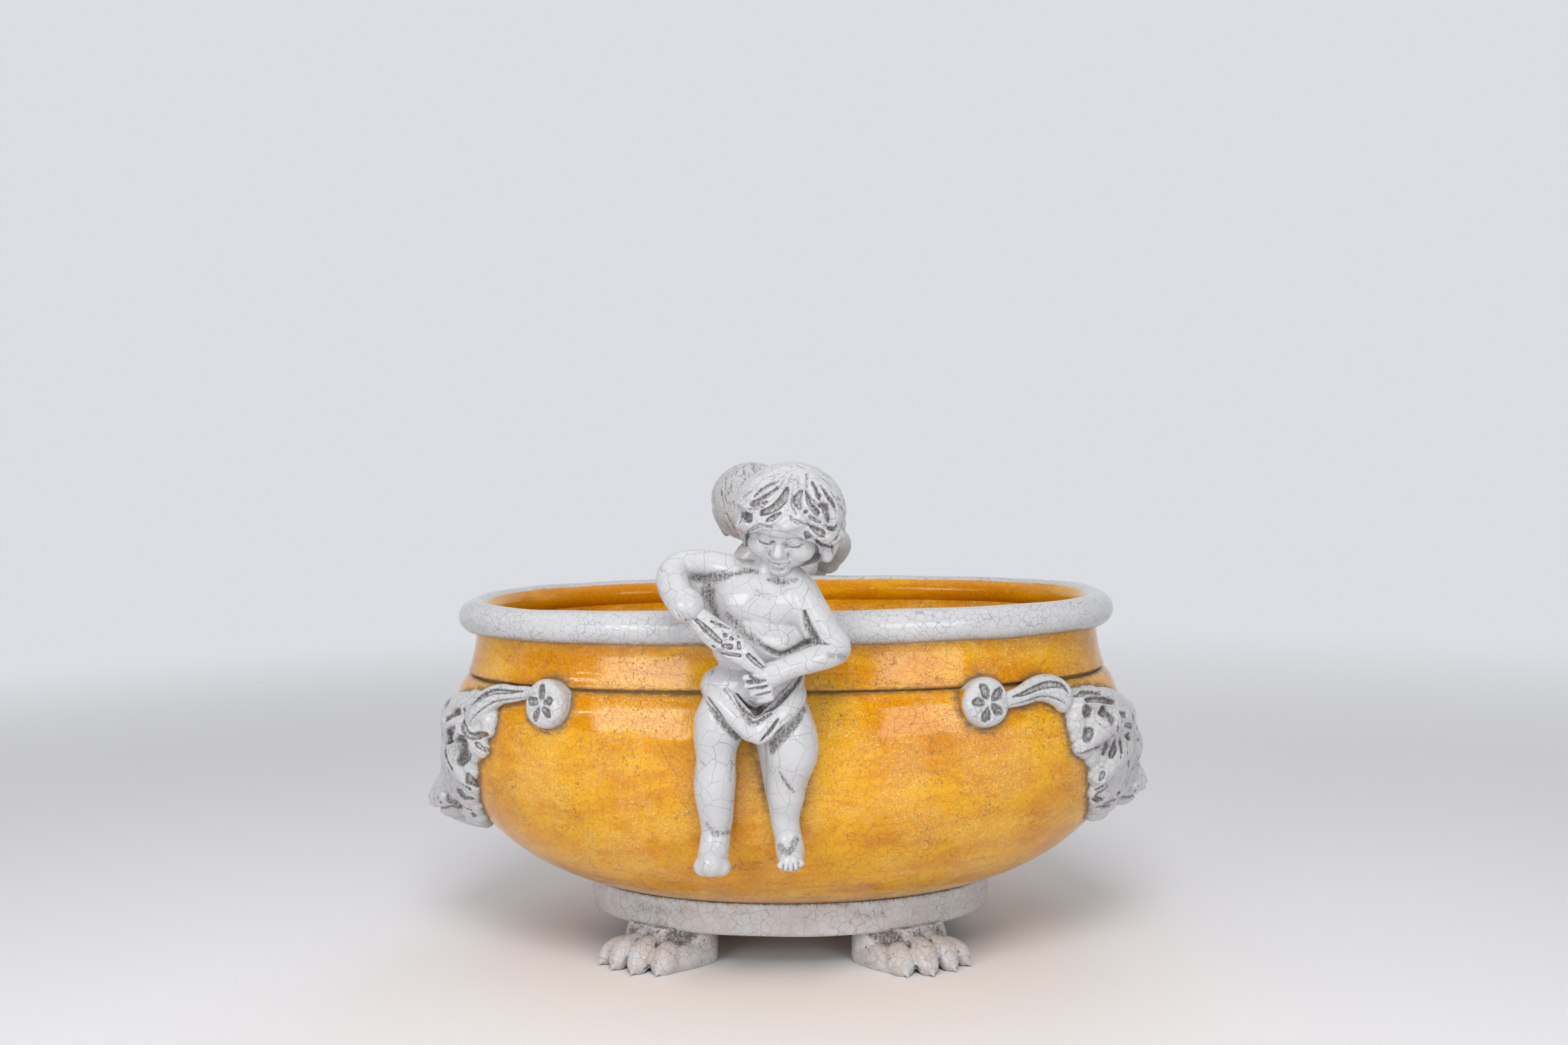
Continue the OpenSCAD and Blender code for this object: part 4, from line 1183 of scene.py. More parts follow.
class PLANTER_OT_masks(bpy.types.Operator):
    """Model the lion's mask with its mane, and set one on each end"""

    bl_idname = "planter.masks"
    bl_label = "Lion masks"

    MIDDLE_Z = 140

    def on_end(self, across, up, out):
        """A place on the right end in metres, out along the wall's own facing"""
        # The chin and the lower mane are drawn up under the muzzle
        up = np.asarray(up) + 0.27 * np.clip(-14 - np.asarray(up), 0, None)
        y, z = np.asarray(across) * MM, (self.MIDDLE_Z + up) * MM
        step = 2 * MM
        slope = (end_x(y + step, z) - end_x(y - step, z)) / (2 * step)
        long = np.sqrt(1 + slope**2)
        return np.stack([end_x(y, z) + out * MM / long, y - slope * out * MM / long, z], axis=-1)

    def lay(self, clay, rows, side):
        """A limb over the wall, through rows of across, up, out and radius"""
        for across, up, out, r in smooth_rows(rows, 0.4):
            clay.ball(self.on_end(side * across, up, out) / MM, r)

    def strokes(self, skin, table, side):
        """Hollows, set down on the mask from straight out of the wall"""
        out = []
        for rows, depth, crisp in table:
            across, up, _, wide = smooth_rows([(side * a, u, 0, w) for a, u, w in rows], 1.0).T
            above, below = self.on_end(across, up, 60.0), self.on_end(across, up, 0.0)
            rows = np.array(settle(skin, above, below - above, wide * MM * (1.3 if crisp else 1.0)))
            # Each hollow is darkened with dirt and painted shade
            out.append((rows, 1.5 * depth * MM, 1.0 if crisp else 0.7, crisp))
            if crisp and depth >= 1.6 and len(rows):
                # The clay is pushed up round a gouge
                out.append((rows * (1, 1, 1, 1.7), -0.8 * MM, 0, False))
        return out

    def muzzle_moved(self, at, down, out):
        """Draw the muzzle down and out, as each mask was pressed a little differently"""
        up = at[:, 2] / MM - self.MIDDLE_Z
        weight = np.exp(-((at[:, 1] / (27 * MM)) ** 2)) * ramp(4 - up, 34)
        return at + np.column_stack([out * weight, 0 * weight, -down * weight]) * MM

    def sheet(self, clay, r):
        """A sheet of balls that fills the mane's outline"""
        half = np.array(MANE, float)
        loop = np.concatenate([half, half[::-1] * (-1, 1)])
        step = 0.75 * r
        across, up = np.meshgrid(np.arange(-120, 121, step), np.arange(-56, 64, step))
        for u, v in zip(across.ravel(), up.ravel()):
            inside, gap = False, 1e9
            for a, b in zip(loop, np.roll(loop, -1, axis=0)):
                if (a[1] > v) != (b[1] > v) and u < a[0] + (v - a[1]) / (b[1] - a[1]) * (b[0] - a[0]):
                    inside = not inside
                along = b - a
                t = np.clip(((u, v) - a) @ along / max(along @ along, 1e-9), 0, 1)
                gap = min(gap, np.linalg.norm((u, v) - a - t * along))
            if inside and gap > r - step / 2:
                # It swells a little towards the face
                out = -1.0 + 3 * max(0, 1 - (u / 100) ** 2)
                clay.ball(self.on_end(u, v, out) / MM, min(r, gap + 1))

    def shape(self):
        clay = Clay()
        self.sheet(clay, 8.5)
        for side in (-1, 1):
            for rows in (*LOCKS, FORELOCK, *FACE):
                self.lay(clay, rows, side)
        return clay.melt(0.95 * MM, 6)

    def execute(self, context):
        piece = self.shape()
        skin = skin_of(piece)
        strokes = self.strokes(skin, LEFT_HOLLOWS + RIGHT_HOLLOWS + BOTH_HOLLOWS, 1)
        strokes += self.strokes(skin, BOTH_HOLLOWS, -1)
        carve(piece, strokes)
        ease(piece, 1)
        patina_and_shade_in_hollows(piece, 14, 1.2 * MM, 0.95)
        at = places(piece)
        # Darker along the edge where the mask meets the bowl, and the yellow spills there
        rim = ramp(1.022 - how_deep(at), 0.02)
        add_grime_and_shade(piece, rim * 0.6)
        paint(piece, "spill", rim * (wobble(at, 26 * MM, 9) > 0.95))
        material = white_glaze("mask glaze", 6 * MM, 0.1)
        for hand, side, down, out in (("right", 1, -3, -6), ("left", -1, 8, 3)):
            mask = copy_of(piece)
            put(mask, self.muzzle_moved(places(mask), down, out) * (side, side, 1))
            trim_back(mask)
            hand_in(mask, f"{hand}_lion_head", material, f"{hand}_lion_mask")
        bpy.data.objects.remove(piece)
        return {"FINISHED"}


# Figures, in millimetres from the rim's outer face at the height of the roll's middle:
# x to the viewer's right, y away from the viewer, z up. Rows are x, y, z and radius.
TORSO = (
    ((4.5, -15.5, 20), (33.5, 17.5, 23)), ((3, -15.5, -8), (31.5, 19, 22)), ((0, -19, -6), (22, 17, 20)),
    ((-3, -15.5, -35), (33.5, 18.5, 18)), ((-24, -11, 33), (12, 8.5, 12)), ((-36, -12, 31), (8.5, 8, 9)),
    ((-23, -12, 20), (10, 9, 12)), ((36, -12, -4), (11, 9, 11)),
)
NECK = ((6.7, -14, 33, 11), (12, -15, 44, 10.5), (18, -17, 56, 11))
SHOULDERS = ((-20, -13, 39, 10.5), (-4, -11, 37, 12), (10, -11, 33, 13), (22, -13.5, 31.5, 12.5))
RIGHT_ARM = (
    (-14, -15, 41, 11), (-26, -14.5, 45, 9.4), (-38, -15, 46.8, 9.2), (-48, -17, 44, 10.2),
    (-51.8, -24, 38.5, 11),
    (-50.4, -31, 32.8, 11), (-46.8, -37, 27.2, 10.6), (-43, -42, 23.6, 10.8), (-40.5, -44, 21, 11.8),
)
LEFT_ARM = (
    (23, -15, 34, 12.5), (29.5, -15.5, 28, 13), (36, -17, 16, 13.2), (43.5, -19, 3.5, 12.8),
    (50.3, -21, -5.5, 12), (54, -24, -9.6, 11),
    (48, -30, -13.2, 9.6), (38, -35, -16.2, 8.6), (28, -38.5, -19, 7.8), (19, -40.5, -22.2, 8),
    (12, -41.5, -25, 8.6), (6, -41, -27, 7.6),
)
RIGHT_LEG = (
    (-18, -14, -48, 17.5), (-23, -14, -60, 18), (-26, -13.5, -72, 15.4), (-26.4, -13, -84, 13.6),
    (-27.4, -12.5, -97, 14.4), (-28, -11.5, -108, 13.8),
    (-27.6, -8.5, -122, 12), (-28, -6.5, -133, 10.4), (-29, -8, -143, 10.4), (-30, -12, -150.5, 10.6),
    (-30.2, -17.5, -153, 9.4),
)
LEFT_LEG = (
    (17, -14, -48, 17.5), (21, -15, -60, 18), (24, -15, -72, 18.2), (24, -14.5, -81, 17.8),
    (21.6, -12.5, -93, 15), (20, -10.5, -103, 13.6), (19.4, -9.5, -110, 12.8),
    (18.7, -7.5, -118, 11.2), (18.5, -6, -127, 10), (20, -6, -137, 9.4), (21.6, -9, -145.5, 10),
    (22.3, -14, -149.5, 9.4), (22.6, -18, -150.6, 8.4),
)
WEB = ((2, 1, -52, 11), (6, 1, -70, 8.5), (8.5, 0.5, -90, 7), (11, 0.5, -110, 6), (14, 0, -122, 4.5))
TOES = (
    (16, -23.5, -153.2, 2.8), (19.4, -25, -154, 2.8), (23, -25.4, -154.2, 2.8), (26.6, -24.6, -153.6, 2.7),
    (29.8, -22.5, -152, 2.6),
)
FINGERS = (
    ((9, -46, -24.2, 3.1), (3, -47.5, -25, 3), (-3, -47, -25.6, 2.6)),
    ((10, -46.5, -29.6, 3.1), (4, -47.5, -30.5, 3), (-2.5, -46.5, -31.2, 2.6)),
    ((12, -45.5, -34.2, 3), (6.5, -46, -35.2, 2.9), (1, -44.5, -36.2, 2.5)),
    ((13, -43.5, -38.8, 2.9), (9, -43.5, -40, 2.7), (5, -42, -40.8, 2.3)),
)
HORN = (
    (-38, -44, 17, 5.5), (-32.8, -45, 13, 7.2), (-26.7, -45.5, 6.8, 8.8), (-19.8, -45.5, 1.1, 9.6),
    (-12.9, -45.5, -3.8, 9.4),
    (-5.2, -45.5, -10, 8), (1.7, -45.5, -16.2, 6.4), (7.7, -45.5, -21.5, 5), (12, -45, -25, 3.8),
)
# The loincloth: two wide panels that meet low in the middle, and a thin roll along their tops
BANDS = (
    ((-27, -12, -32, 8), (-26, -21, -37, 8), (-19, -27.5, -45, 8), (-10, -31, -53.5, 8), (-1, -32.5, -62, 7.8)),
    ((25, -12, -36, 8.5), (26, -21, -42, 9), (20, -27.5, -50, 9.5), (12, -31, -57.5, 9.3),
     (4, -32.5, -64, 7.5)),
    ((-24, -24, -29.5, 3.4), (-15, -31.5, -38, 3.4), (-7, -35, -47, 3.4), (0, -36.5, -54, 3.6)),
    ((30, -17, -30, 4.2), (26, -25, -38, 4.2), (17, -31.5, -47.5, 4.2), (8, -35, -53.5, 4.2),
     (1, -36.5, -56, 4)),
)

# Strokes over the figure, cut from the front: rows of x, z and half width, then depth and darkening. The darkening
# is dirt, with painted shade in the folds and creases.
FOLD_STROKES = (
    (((31.9, -28.1, 2.2), (24.3, -35.6, 3.4), (15.3, -44.4, 3.8), (6.4, -49.6, 3.8), (1.5, -50.9, 3.6)),
     2.6, 1),
    (((-10.3, -38.9, 2), (-5.9, -46, 3), (-0.7, -50, 3.4)), 2.4, 1),
)
BODY_STROKES = (
    *FOLD_STROKES,
    # The crease between the left arm and the body, then along the forearm's upper edge: a cut that carries painted
    # shade
    (((34.6, 15, 1.6), (35.8, 8, 4), (37.5, 2, 5.6), (39.9, -3.7, 6.6)), 3.6, 1),
    (((37.5, 4, 6), (40.5, -2.5, 7)), 0.2, 0.6),
    (((39.9, -3.7, 3.6), (50.1, -5.2, 2)), 1.2, 0.8),
    (((39, -4.5, 3.4), (28.8, -9.4, 3), (19, -12.4, 3), (10.2, -8.4, 2.6)), 1.8, 0.95),
    (((10.2, -7.9, 3.6), (-2.1, 1.1, 5), (-10.9, 8.3, 5), (-16, 14, 3.5)), 0.2, 0.66),
    (((-15.2, -16.3, 1.6), (-6.4, -19.9, 2.4), (5.9, -27.9, 2.4)), 1.4, 0.95),
    (((-3.7, -28.4, 1.4), (2.8, -27.7, 2), (9.4, -27.2, 1.6)), 1.8, 1),
    (((-1.2, -33.2, 1.4), (4.9, -32.2, 2), (11.1, -31.1, 1.6)), 1.8, 1),
    (((3.5, -37.6, 1.4), (8.4, -36.5, 2.1), (13.2, -35.1, 1.6)), 1.8, 1),
    # Wide, shallow strokes of painted shade, with some dirt, in the armpit, at the neck and under the chin
    (((-37, 37, 5), (-30, 36.5, 7), (-20, 38.5, 6), (-13, 39.5, 3.5)), 0.3, 0.8),
    (((-30, 34, 7), (-28, 24, 8.5), (-24.5, 14, 6), (-24, 6, 4)), 0.3, 0.82),
    (((-10, 39.5, 2.6), (-3, 41.5, 4), (4, 41, 3)), 0.3, 0.75),
    (((12, 36, 3), (21, 34.5, 4.6), (29.2, 35.8, 3)), 0.3, 0.72),
    (((3, 31, 3), (11, 24.5, 4)), 0.1, 0.5),
    (((51, -12, 4), (61.4, -14.8, 4.4)), 0.2, 0.66),
    (((-27.6, -17.8, 1.6), (-26.8, -25, 2)), 0.6, 0.8),
    (((-32.6, -126.4, 3), (-27.7, -133.2, 4.6), (-18.4, -134.1, 3.4)), 0.3, 0.66),
    (((14.4, -141.8, 4), (21.1, -144.3, 5.4), (27.1, -137.5, 3.6)), 0.3, 0.72),
    (((16.6, -90.2, 1.6), (20.6, -97.8, 2.8), (25.5, -104.5, 2)), 0.3, 0.66),
    (((-36, -84.1, 2.6), (-33, -86, 2)), 0.2, 0.6),
    (((-15.1, -85, 2), (-16.5, -96.8, 2.6)), 0.2, 0.6),
    (((-14.7, -64.1, 3), (-6.4, -69.1, 4)), 0.9, 0.85),
    (((-30, -43, 3), (-23.5, -52.3, 4), (-16.5, -61.3, 4.2), (-8, -70, 4)), 0.4, 0.9),
    (((33.5, -49.5, 3.4), (28.5, -57, 4.6), (19, -66, 5.4), (11.5, -73.5, 5)), 0.4, 0.95),
    (((22.8, -64.3, 4), (15.2, -70.9, 5), (11, -76.8, 3.6)), 0.9, 0.9),
    (((17.7, -151.5, 1), (17.7, -156, 1)), 1.2, 0.85),
    (((21.2, -151.5, 1), (21.2, -156.5, 1)), 1.2, 0.85),
    (((24.8, -151.5, 1), (24.9, -156, 1)), 1.2, 0.85),
    (((28.2, -150.5, 1), (28.4, -155, 1)), 1.2, 0.85),
    (((52, 30, 6), (56, 22, 4)), 0, 0.28),
    (((-50, 38, 5), (-54, 30, 4)), 0, 0.32),
    (((-40, 12, 3), (-36, 13, 3)), 0.3, 0.6),
    (((-46.5, 19, 1), (-43.5, 13.5, 1)), 1, 0.6),
    (((-42.5, 17.5, 1), (-40, 12.5, 1)), 1, 0.6),
    (((-38.5, 16.5, 1), (-36.5, 12.5, 1)), 0.9, 0.6),
)
CLOTH_STROKES = (
    *FOLD_STROKES,
    (((-7.4, -45.4, 1.4), (-2.2, -53.4, 3), (1.3, -56.5, 3.4), (12, -49.9, 1.6)), 2, 0.95),
    (((-26.3, -25.9, 2), (-18.5, -34.8, 2), (-11.5, -43.8, 2), (-4, -53, 1.8)), 0.8, 0.65),
    (((-29.3, -41.9, 2.4), (-22.3, -50.8, 3.4), (-15.3, -59.8, 3.6), (-6.6, -68.8, 3.4)), 1.8, 0.9),
    (((32.7, -48.5, 2.6), (27.3, -55.6, 3.8), (17.5, -63.5, 4.2), (11.1, -71.5, 4)), 2.2, 0.95),
    (((17.1, -53.8, 1.2), (12.5, -60.9, 2.4), (6.2, -67.9, 1.2)), 2.4, 1),
)
HORN_STROKES = (
    (((-34.1, 12.6, 1.5), (-26.3, 5.5, 2.6), (-18.6, -1.5, 2)), 2.6, 1),
    (((-23.6, 11.6, 1), (-17.1, 8.9, 1.8), (-12.8, 7.1, 1.2)), 1.9, 1),
    (((-14.6, 2.8, 1.8),), 2, 1),
    (((-10.7, 0.6, 1.6),), 1.8, 1),
    (((-6.5, 1.7, 1.3),), 1.6, 1),
    (((-9.6, 5.4, 1),), 1.4, 1),
    (((-16, -4.6, 1.9), (-11.7, -4.9, 2.2)), 2.2, 1),
    (((-6, -2.5, 1.5), (-6, -5.6, 1.6)), 1.8, 1),
    (((-23, -5.2, 1.5),), 1.6, 1),
    (((-2.1, -2.1, 1),), 1.3, 1),
    (((-19.6, -9.5, 1.2), (-12.7, -10.1, 1.7), (-5.7, -10.8, 1.3)), 1.9, 1),
    (((0, -10.8, 2), (4.2, -14.8, 2.4), (8, -18, 1.7), (11.1, -20.5, 1.6)), 2.4, 1),
)

# Hair, from the front in the same way: ridges are raised, gouges are cut. The gouges' darkening is dirt, with
# painted shade under the locks and along the face.
HAIR_RIDGES = (
    ((-7.2, 85.9, 1.3), (-0.6, 83.7, 1.8), (5.9, 82.7, 2), (13.2, 83.8, 2), (18.5, 87.9, 2), (22.8, 92.9, 1.8),
     (27, 98.5, 1.4)),
    ((7.6, 74.9, 1.3), (13.9, 73.6, 1.6), (19.2, 75.8, 1.6), (21.9, 79.2, 1.4)),
    ((28.4, 97.6, 1.3), (27.1, 92, 1.8), (28, 86, 2), (31.4, 80.8, 2), (35.6, 75.5, 1.8), (40.6, 71.9, 1.3)),
    ((36.1, 94.9, 0.9), (36.6, 89.3, 1.2), (37.8, 84.1, 1.3), (42, 78.4, 1.4), (47, 72.6, 1.6), (52, 70.1, 1.6),
     (55.9, 73.8, 1.4), (56.6, 77.3, 1.1)),
    ((41.2, 96, 0.7), (43, 89.1, 1), (46.3, 86, 0.9), (47.6, 87.3, 0.7)),
    ((47.2, 91.6, 0.7), (51.4, 85.4, 1), (54.1, 80.1, 1.1), (55.2, 74.8, 0.9)),
    ((-10.6, 70.5, 1.1), (-3.9, 72, 1.6), (3.1, 76.6, 1.8), (7.7, 78.2, 1.4)),
    ((42.4, 74.5, 1.1), (48.1, 69, 1.3), (54.8, 65.8, 1.6), (58.2, 68.2, 1.3)),
)
HAIR_GOUGES = (
    (((4.5, 91.3, 0.9), (9.4, 95.5, 1.4), (14.7, 98.3, 1.4), (19.5, 100.4, 0.7)), 1.7, 0.95),
    (((1.8, 86.3, 1.1), (7.3, 88.8, 1.3), (12.2, 91.3, 1.4), (16.6, 93.9, 1.1), (20.1, 97.3, 0.7)), 1.9, 1),
    (((2.7, 84.9, 0.7), (7.8, 85.5, 1.1), (12.3, 87, 0.9)), 1.4, 0.9),
    (((9.6, 80.1, 1.3), (14.9, 81.9, 1.8), (20.2, 85.3, 2), (23.7, 89.5, 2), (25.4, 93.8, 1.3),
      (25.8, 96.3, 0.7)), 2.4, 1),
    (((13, 75.8, 0.9), (17.5, 77.5, 1.4), (21.1, 80.1, 1.1)), 1.6, 0.95),
    (((-5, 79.9, 1.4), (-5.8, 74.6, 1.3)), 2.2, 1),
    (((-2.6, 77.8, 2.3), (0.7, 76.6, 2.2)), 2.6, 1),
    (((-1.3, 66.7, 0.8), (3.7, 69.8, 1.1), (9.3, 72, 1.1), (15.5, 71, 0.6)), 1.2, 0.7),
    (((-9.2, 77, 0.5), (-9.1, 68.7, 0.8), (-6.3, 61.5, 0.9), (-1.9, 56.1, 0.7), (1.6, 49.2, 0.6)), 0.8, 0.9),
    (((-4.7, 89.5, 0.7), (-0.8, 92.2, 0.9), (2, 93.9, 0.5)), 1, 0.8),
    (((9.1, 101.7, 0.4), (15.3, 103.8, 0.6), (20.6, 105, 0.4)), 0.9, 0.7),
    (((18.2, 100.3, 0.4), (23.3, 103.7, 0.5)), 0.8, 0.7),
    (((34.4, 94, 0.9), (32.5, 89.4, 1.8), (33.2, 85.5, 1.6), (34.8, 82.9, 0.7)), 2.2, 0.9),
    (((38.3, 93.5, 0.8), (39.6, 89.2, 1.4), (40.8, 84.9, 1.4), (44.2, 81.4, 2), (45.4, 79.2, 1.1)), 2.3, 1),
    (((42.4, 99, 1.1), (43.8, 95.1, 1.6), (45.5, 90.8, 1.4), (46.6, 88.6, 0.7)), 2, 1),
    (((47.6, 96.7, 0.7), (50.1, 93.2, 1.3), (52.7, 88.8, 1.8), (56, 83.5, 1.3), (57, 79.9, 0.7)), 2.1, 1),
    (((47.2, 85.1, 1.1), (49.7, 82.9, 2), (50.9, 78.5, 1.8), (52.1, 74.5, 1.3)), 2.2, 1),
    (((46.1, 102.8, 0.5), (50, 100.1, 0.9), (53.4, 96.5, 0.6)), 1.2, 0.85),
    (((38.9, 72.8, 0.9), (43.1, 70.1, 1.6), (47.2, 66.3, 2.2), (49.5, 65.1, 1.1)), 2.2, 1),
    (((37.9, 66.7, 1.3), (39.1, 64.5, 1.8)), 1.6, 0.9),
    (((44.1, 62, 1.1), (48.5, 58.5, 1.6), (53, 57.1, 1.1)), 1.8, 1),
    (((53.6, 55.1, 0.8), (54.3, 53.1, 0.8)), 1.2, 0.9),
    (((57.7, 89, 0.5), (59.4, 86.7, 0.8)), 1.2, 0.9),
    (((58.5, 84.6, 0.5), (61, 80.5, 0.7), (61.8, 76, 0.5)), 1.1, 0.85),
    (((59, 68.1, 0.7), (56.7, 62.8, 0.9), (52.8, 59.5, 0.7)), 1, 0.85),
    (((37.4, 80.5, 1),), 1.6, 1),
    (((27.9, 77.9, 0.4), (28.8, 77.6, 0.4)), 0.8, 0.8),
    (((18.5, 68.4, 0.7), (21.9, 65.5, 0.7), (23.6, 65.1, 0.4)), 1, 0.95),
    (((23.5, 74.5, 1.1), (24.8, 72.3, 0.7)), 0.3, 0.55),
    (((-5.5, 83.8, 0.4), (-7.1, 80.7, 0.4)), 0.6, 0.7),
    (((7.4, 99.5, 0.4), (1.9, 95.6, 0.5), (-1.8, 93, 0.4)), 0.8, 0.75),
    (((29, 105, 0.4), (27, 100, 0.6), (26.5, 96, 0.4)), 0.8, 0.6),
    (((33, 104, 0.4), (33, 99, 0.7), (33.5, 95.4, 0.4)), 0.9, 0.7),
    (((38, 104.5, 0.5), (38.5, 100, 0.8), (38.2, 96, 0.5)), 1, 0.8),
    (((24, 102, 0.5), (21, 97.5, 0.7), (19.5, 95, 0.4)), 0.9, 0.7),
    (((30, 91, 0.6), (29.6, 85, 1), (31, 79.6, 0.6)), 1.2, 0.8),
    (((28.5, 76.5, 0.9), (33, 73.8, 1.1), (36, 72.8, 0.6)), 1.2, 0.8),
    (((0.5, 82, 0.7), (6, 82.8, 0.9), (10.5, 84.2, 0.5)), 1.1, 0.8),
    (((41.4, 88.4, 0.5), (43.8, 85.2, 0.8), (46.4, 83.8, 0.5)), 1.1, 0.8),
    (((54, 92, 0.5), (57.5, 87, 0.7), (58.8, 83, 0.4)), 1, 0.8),
    (((40, 77.4, 0.6), (44, 74.8, 0.9), (48, 73.6, 0.5)), 1.1, 0.85),
    (((50, 71.8, 0.7), (53.5, 69.2, 1), (57, 70.4, 0.6)), 1.2, 0.85),
    (((-8, 86, 0.5), (-5.5, 88, 0.6)), 0.8, 0.7),
)
EAR_LOCKS = (
    ((56, -16, 71, 6.5), (54.5, -19, 64, 6.2), (52, -21, 57, 5.4), (49.8, -22, 50, 4.2)),
    ((-4, -15, 75, 6), (-3.5, -17, 68, 5.6), (-1, -18, 61, 4.8), (2.5, -18, 54.5, 3.6)),
)
FRINGE = (
    ((38, -45.5, 76, 5.4), (32, -48.5, 74.5, 6), (26, -49.5, 72.8, 5.4), (22.5, -48.5, 71, 4.2)),
    ((39, -47, 71, 4.2), (46, -44.5, 66, 4.8), (53, -38, 63, 4.8), (57.5, -29, 64, 4.4)),
    ((17, -48, 76.5, 4), (9, -46, 73.5, 4.6), (1, -40, 71.5, 4.8), (-5, -31, 71.5, 4.4)),
)

HAIR_MIDDLE = (26, -17, 79.5)
HEAD_MIDDLE = (24, -20, 77)
# Lines of the face, cut from straight before it: rows of across, up and half width, then depth and
# darkening, dirt with painted shade in the hollows. The first lie on both sides: lid, brow, inner corner, nose wing,
# nostril, mouth corner.
SIDE_LINES = (
    (((4.9, -5.4, 0.7), (8, -7, 1.1), (12, -7, 1.1), (15, -5.2, 0.7)), 1, 0.9),
    (((5, -2, 1.6), (9.6, 0.4, 2.2), (14.4, -1.6, 1.6)), 0.6, 0.55),
    (((3.6, -4.5, 2.4), (5.2, -6, 3)), 1, 0.75),
    (((5.6, -11.4, 1.6), (6.6, -14, 1.8), (6.2, -16, 1.4)), 0.5, 0.6),
    (((1.8, -15, 1.1), (2.8, -14.8, 1.1)), 0.9, 0.9),
    (((7.4, -19.4, 2.2), (7, -21, 2)), 0.5, 0.6),
)
MIDDLE_LINES = (
    (((-5.8, -19.6, 0.7), (-3, -20, 1), (0, -19.8, 1), (3, -20, 1), (5.8, -19.6, 0.7)), 1, 0.8),
    (((-4, -24.6, 2), (0, -25, 2.4), (4, -24.6, 2)), 0.6, 0.55),
)


def head_frame():
    """Axes of the bowed head: its right, its front and its top"""
    bow, turn, tilt = math.radians(28), math.radians(10), math.radians(9)
    front = np.array([-math.sin(turn) * math.cos(bow), -math.cos(turn) * math.cos(bow), -math.sin(bow)])
    right = np.array([math.cos(turn), -math.sin(turn), 0])
    top = np.cross(front, right)
    return right * math.cos(tilt) - top * math.sin(tilt), front, top * math.cos(tilt) + right * math.sin(tilt)


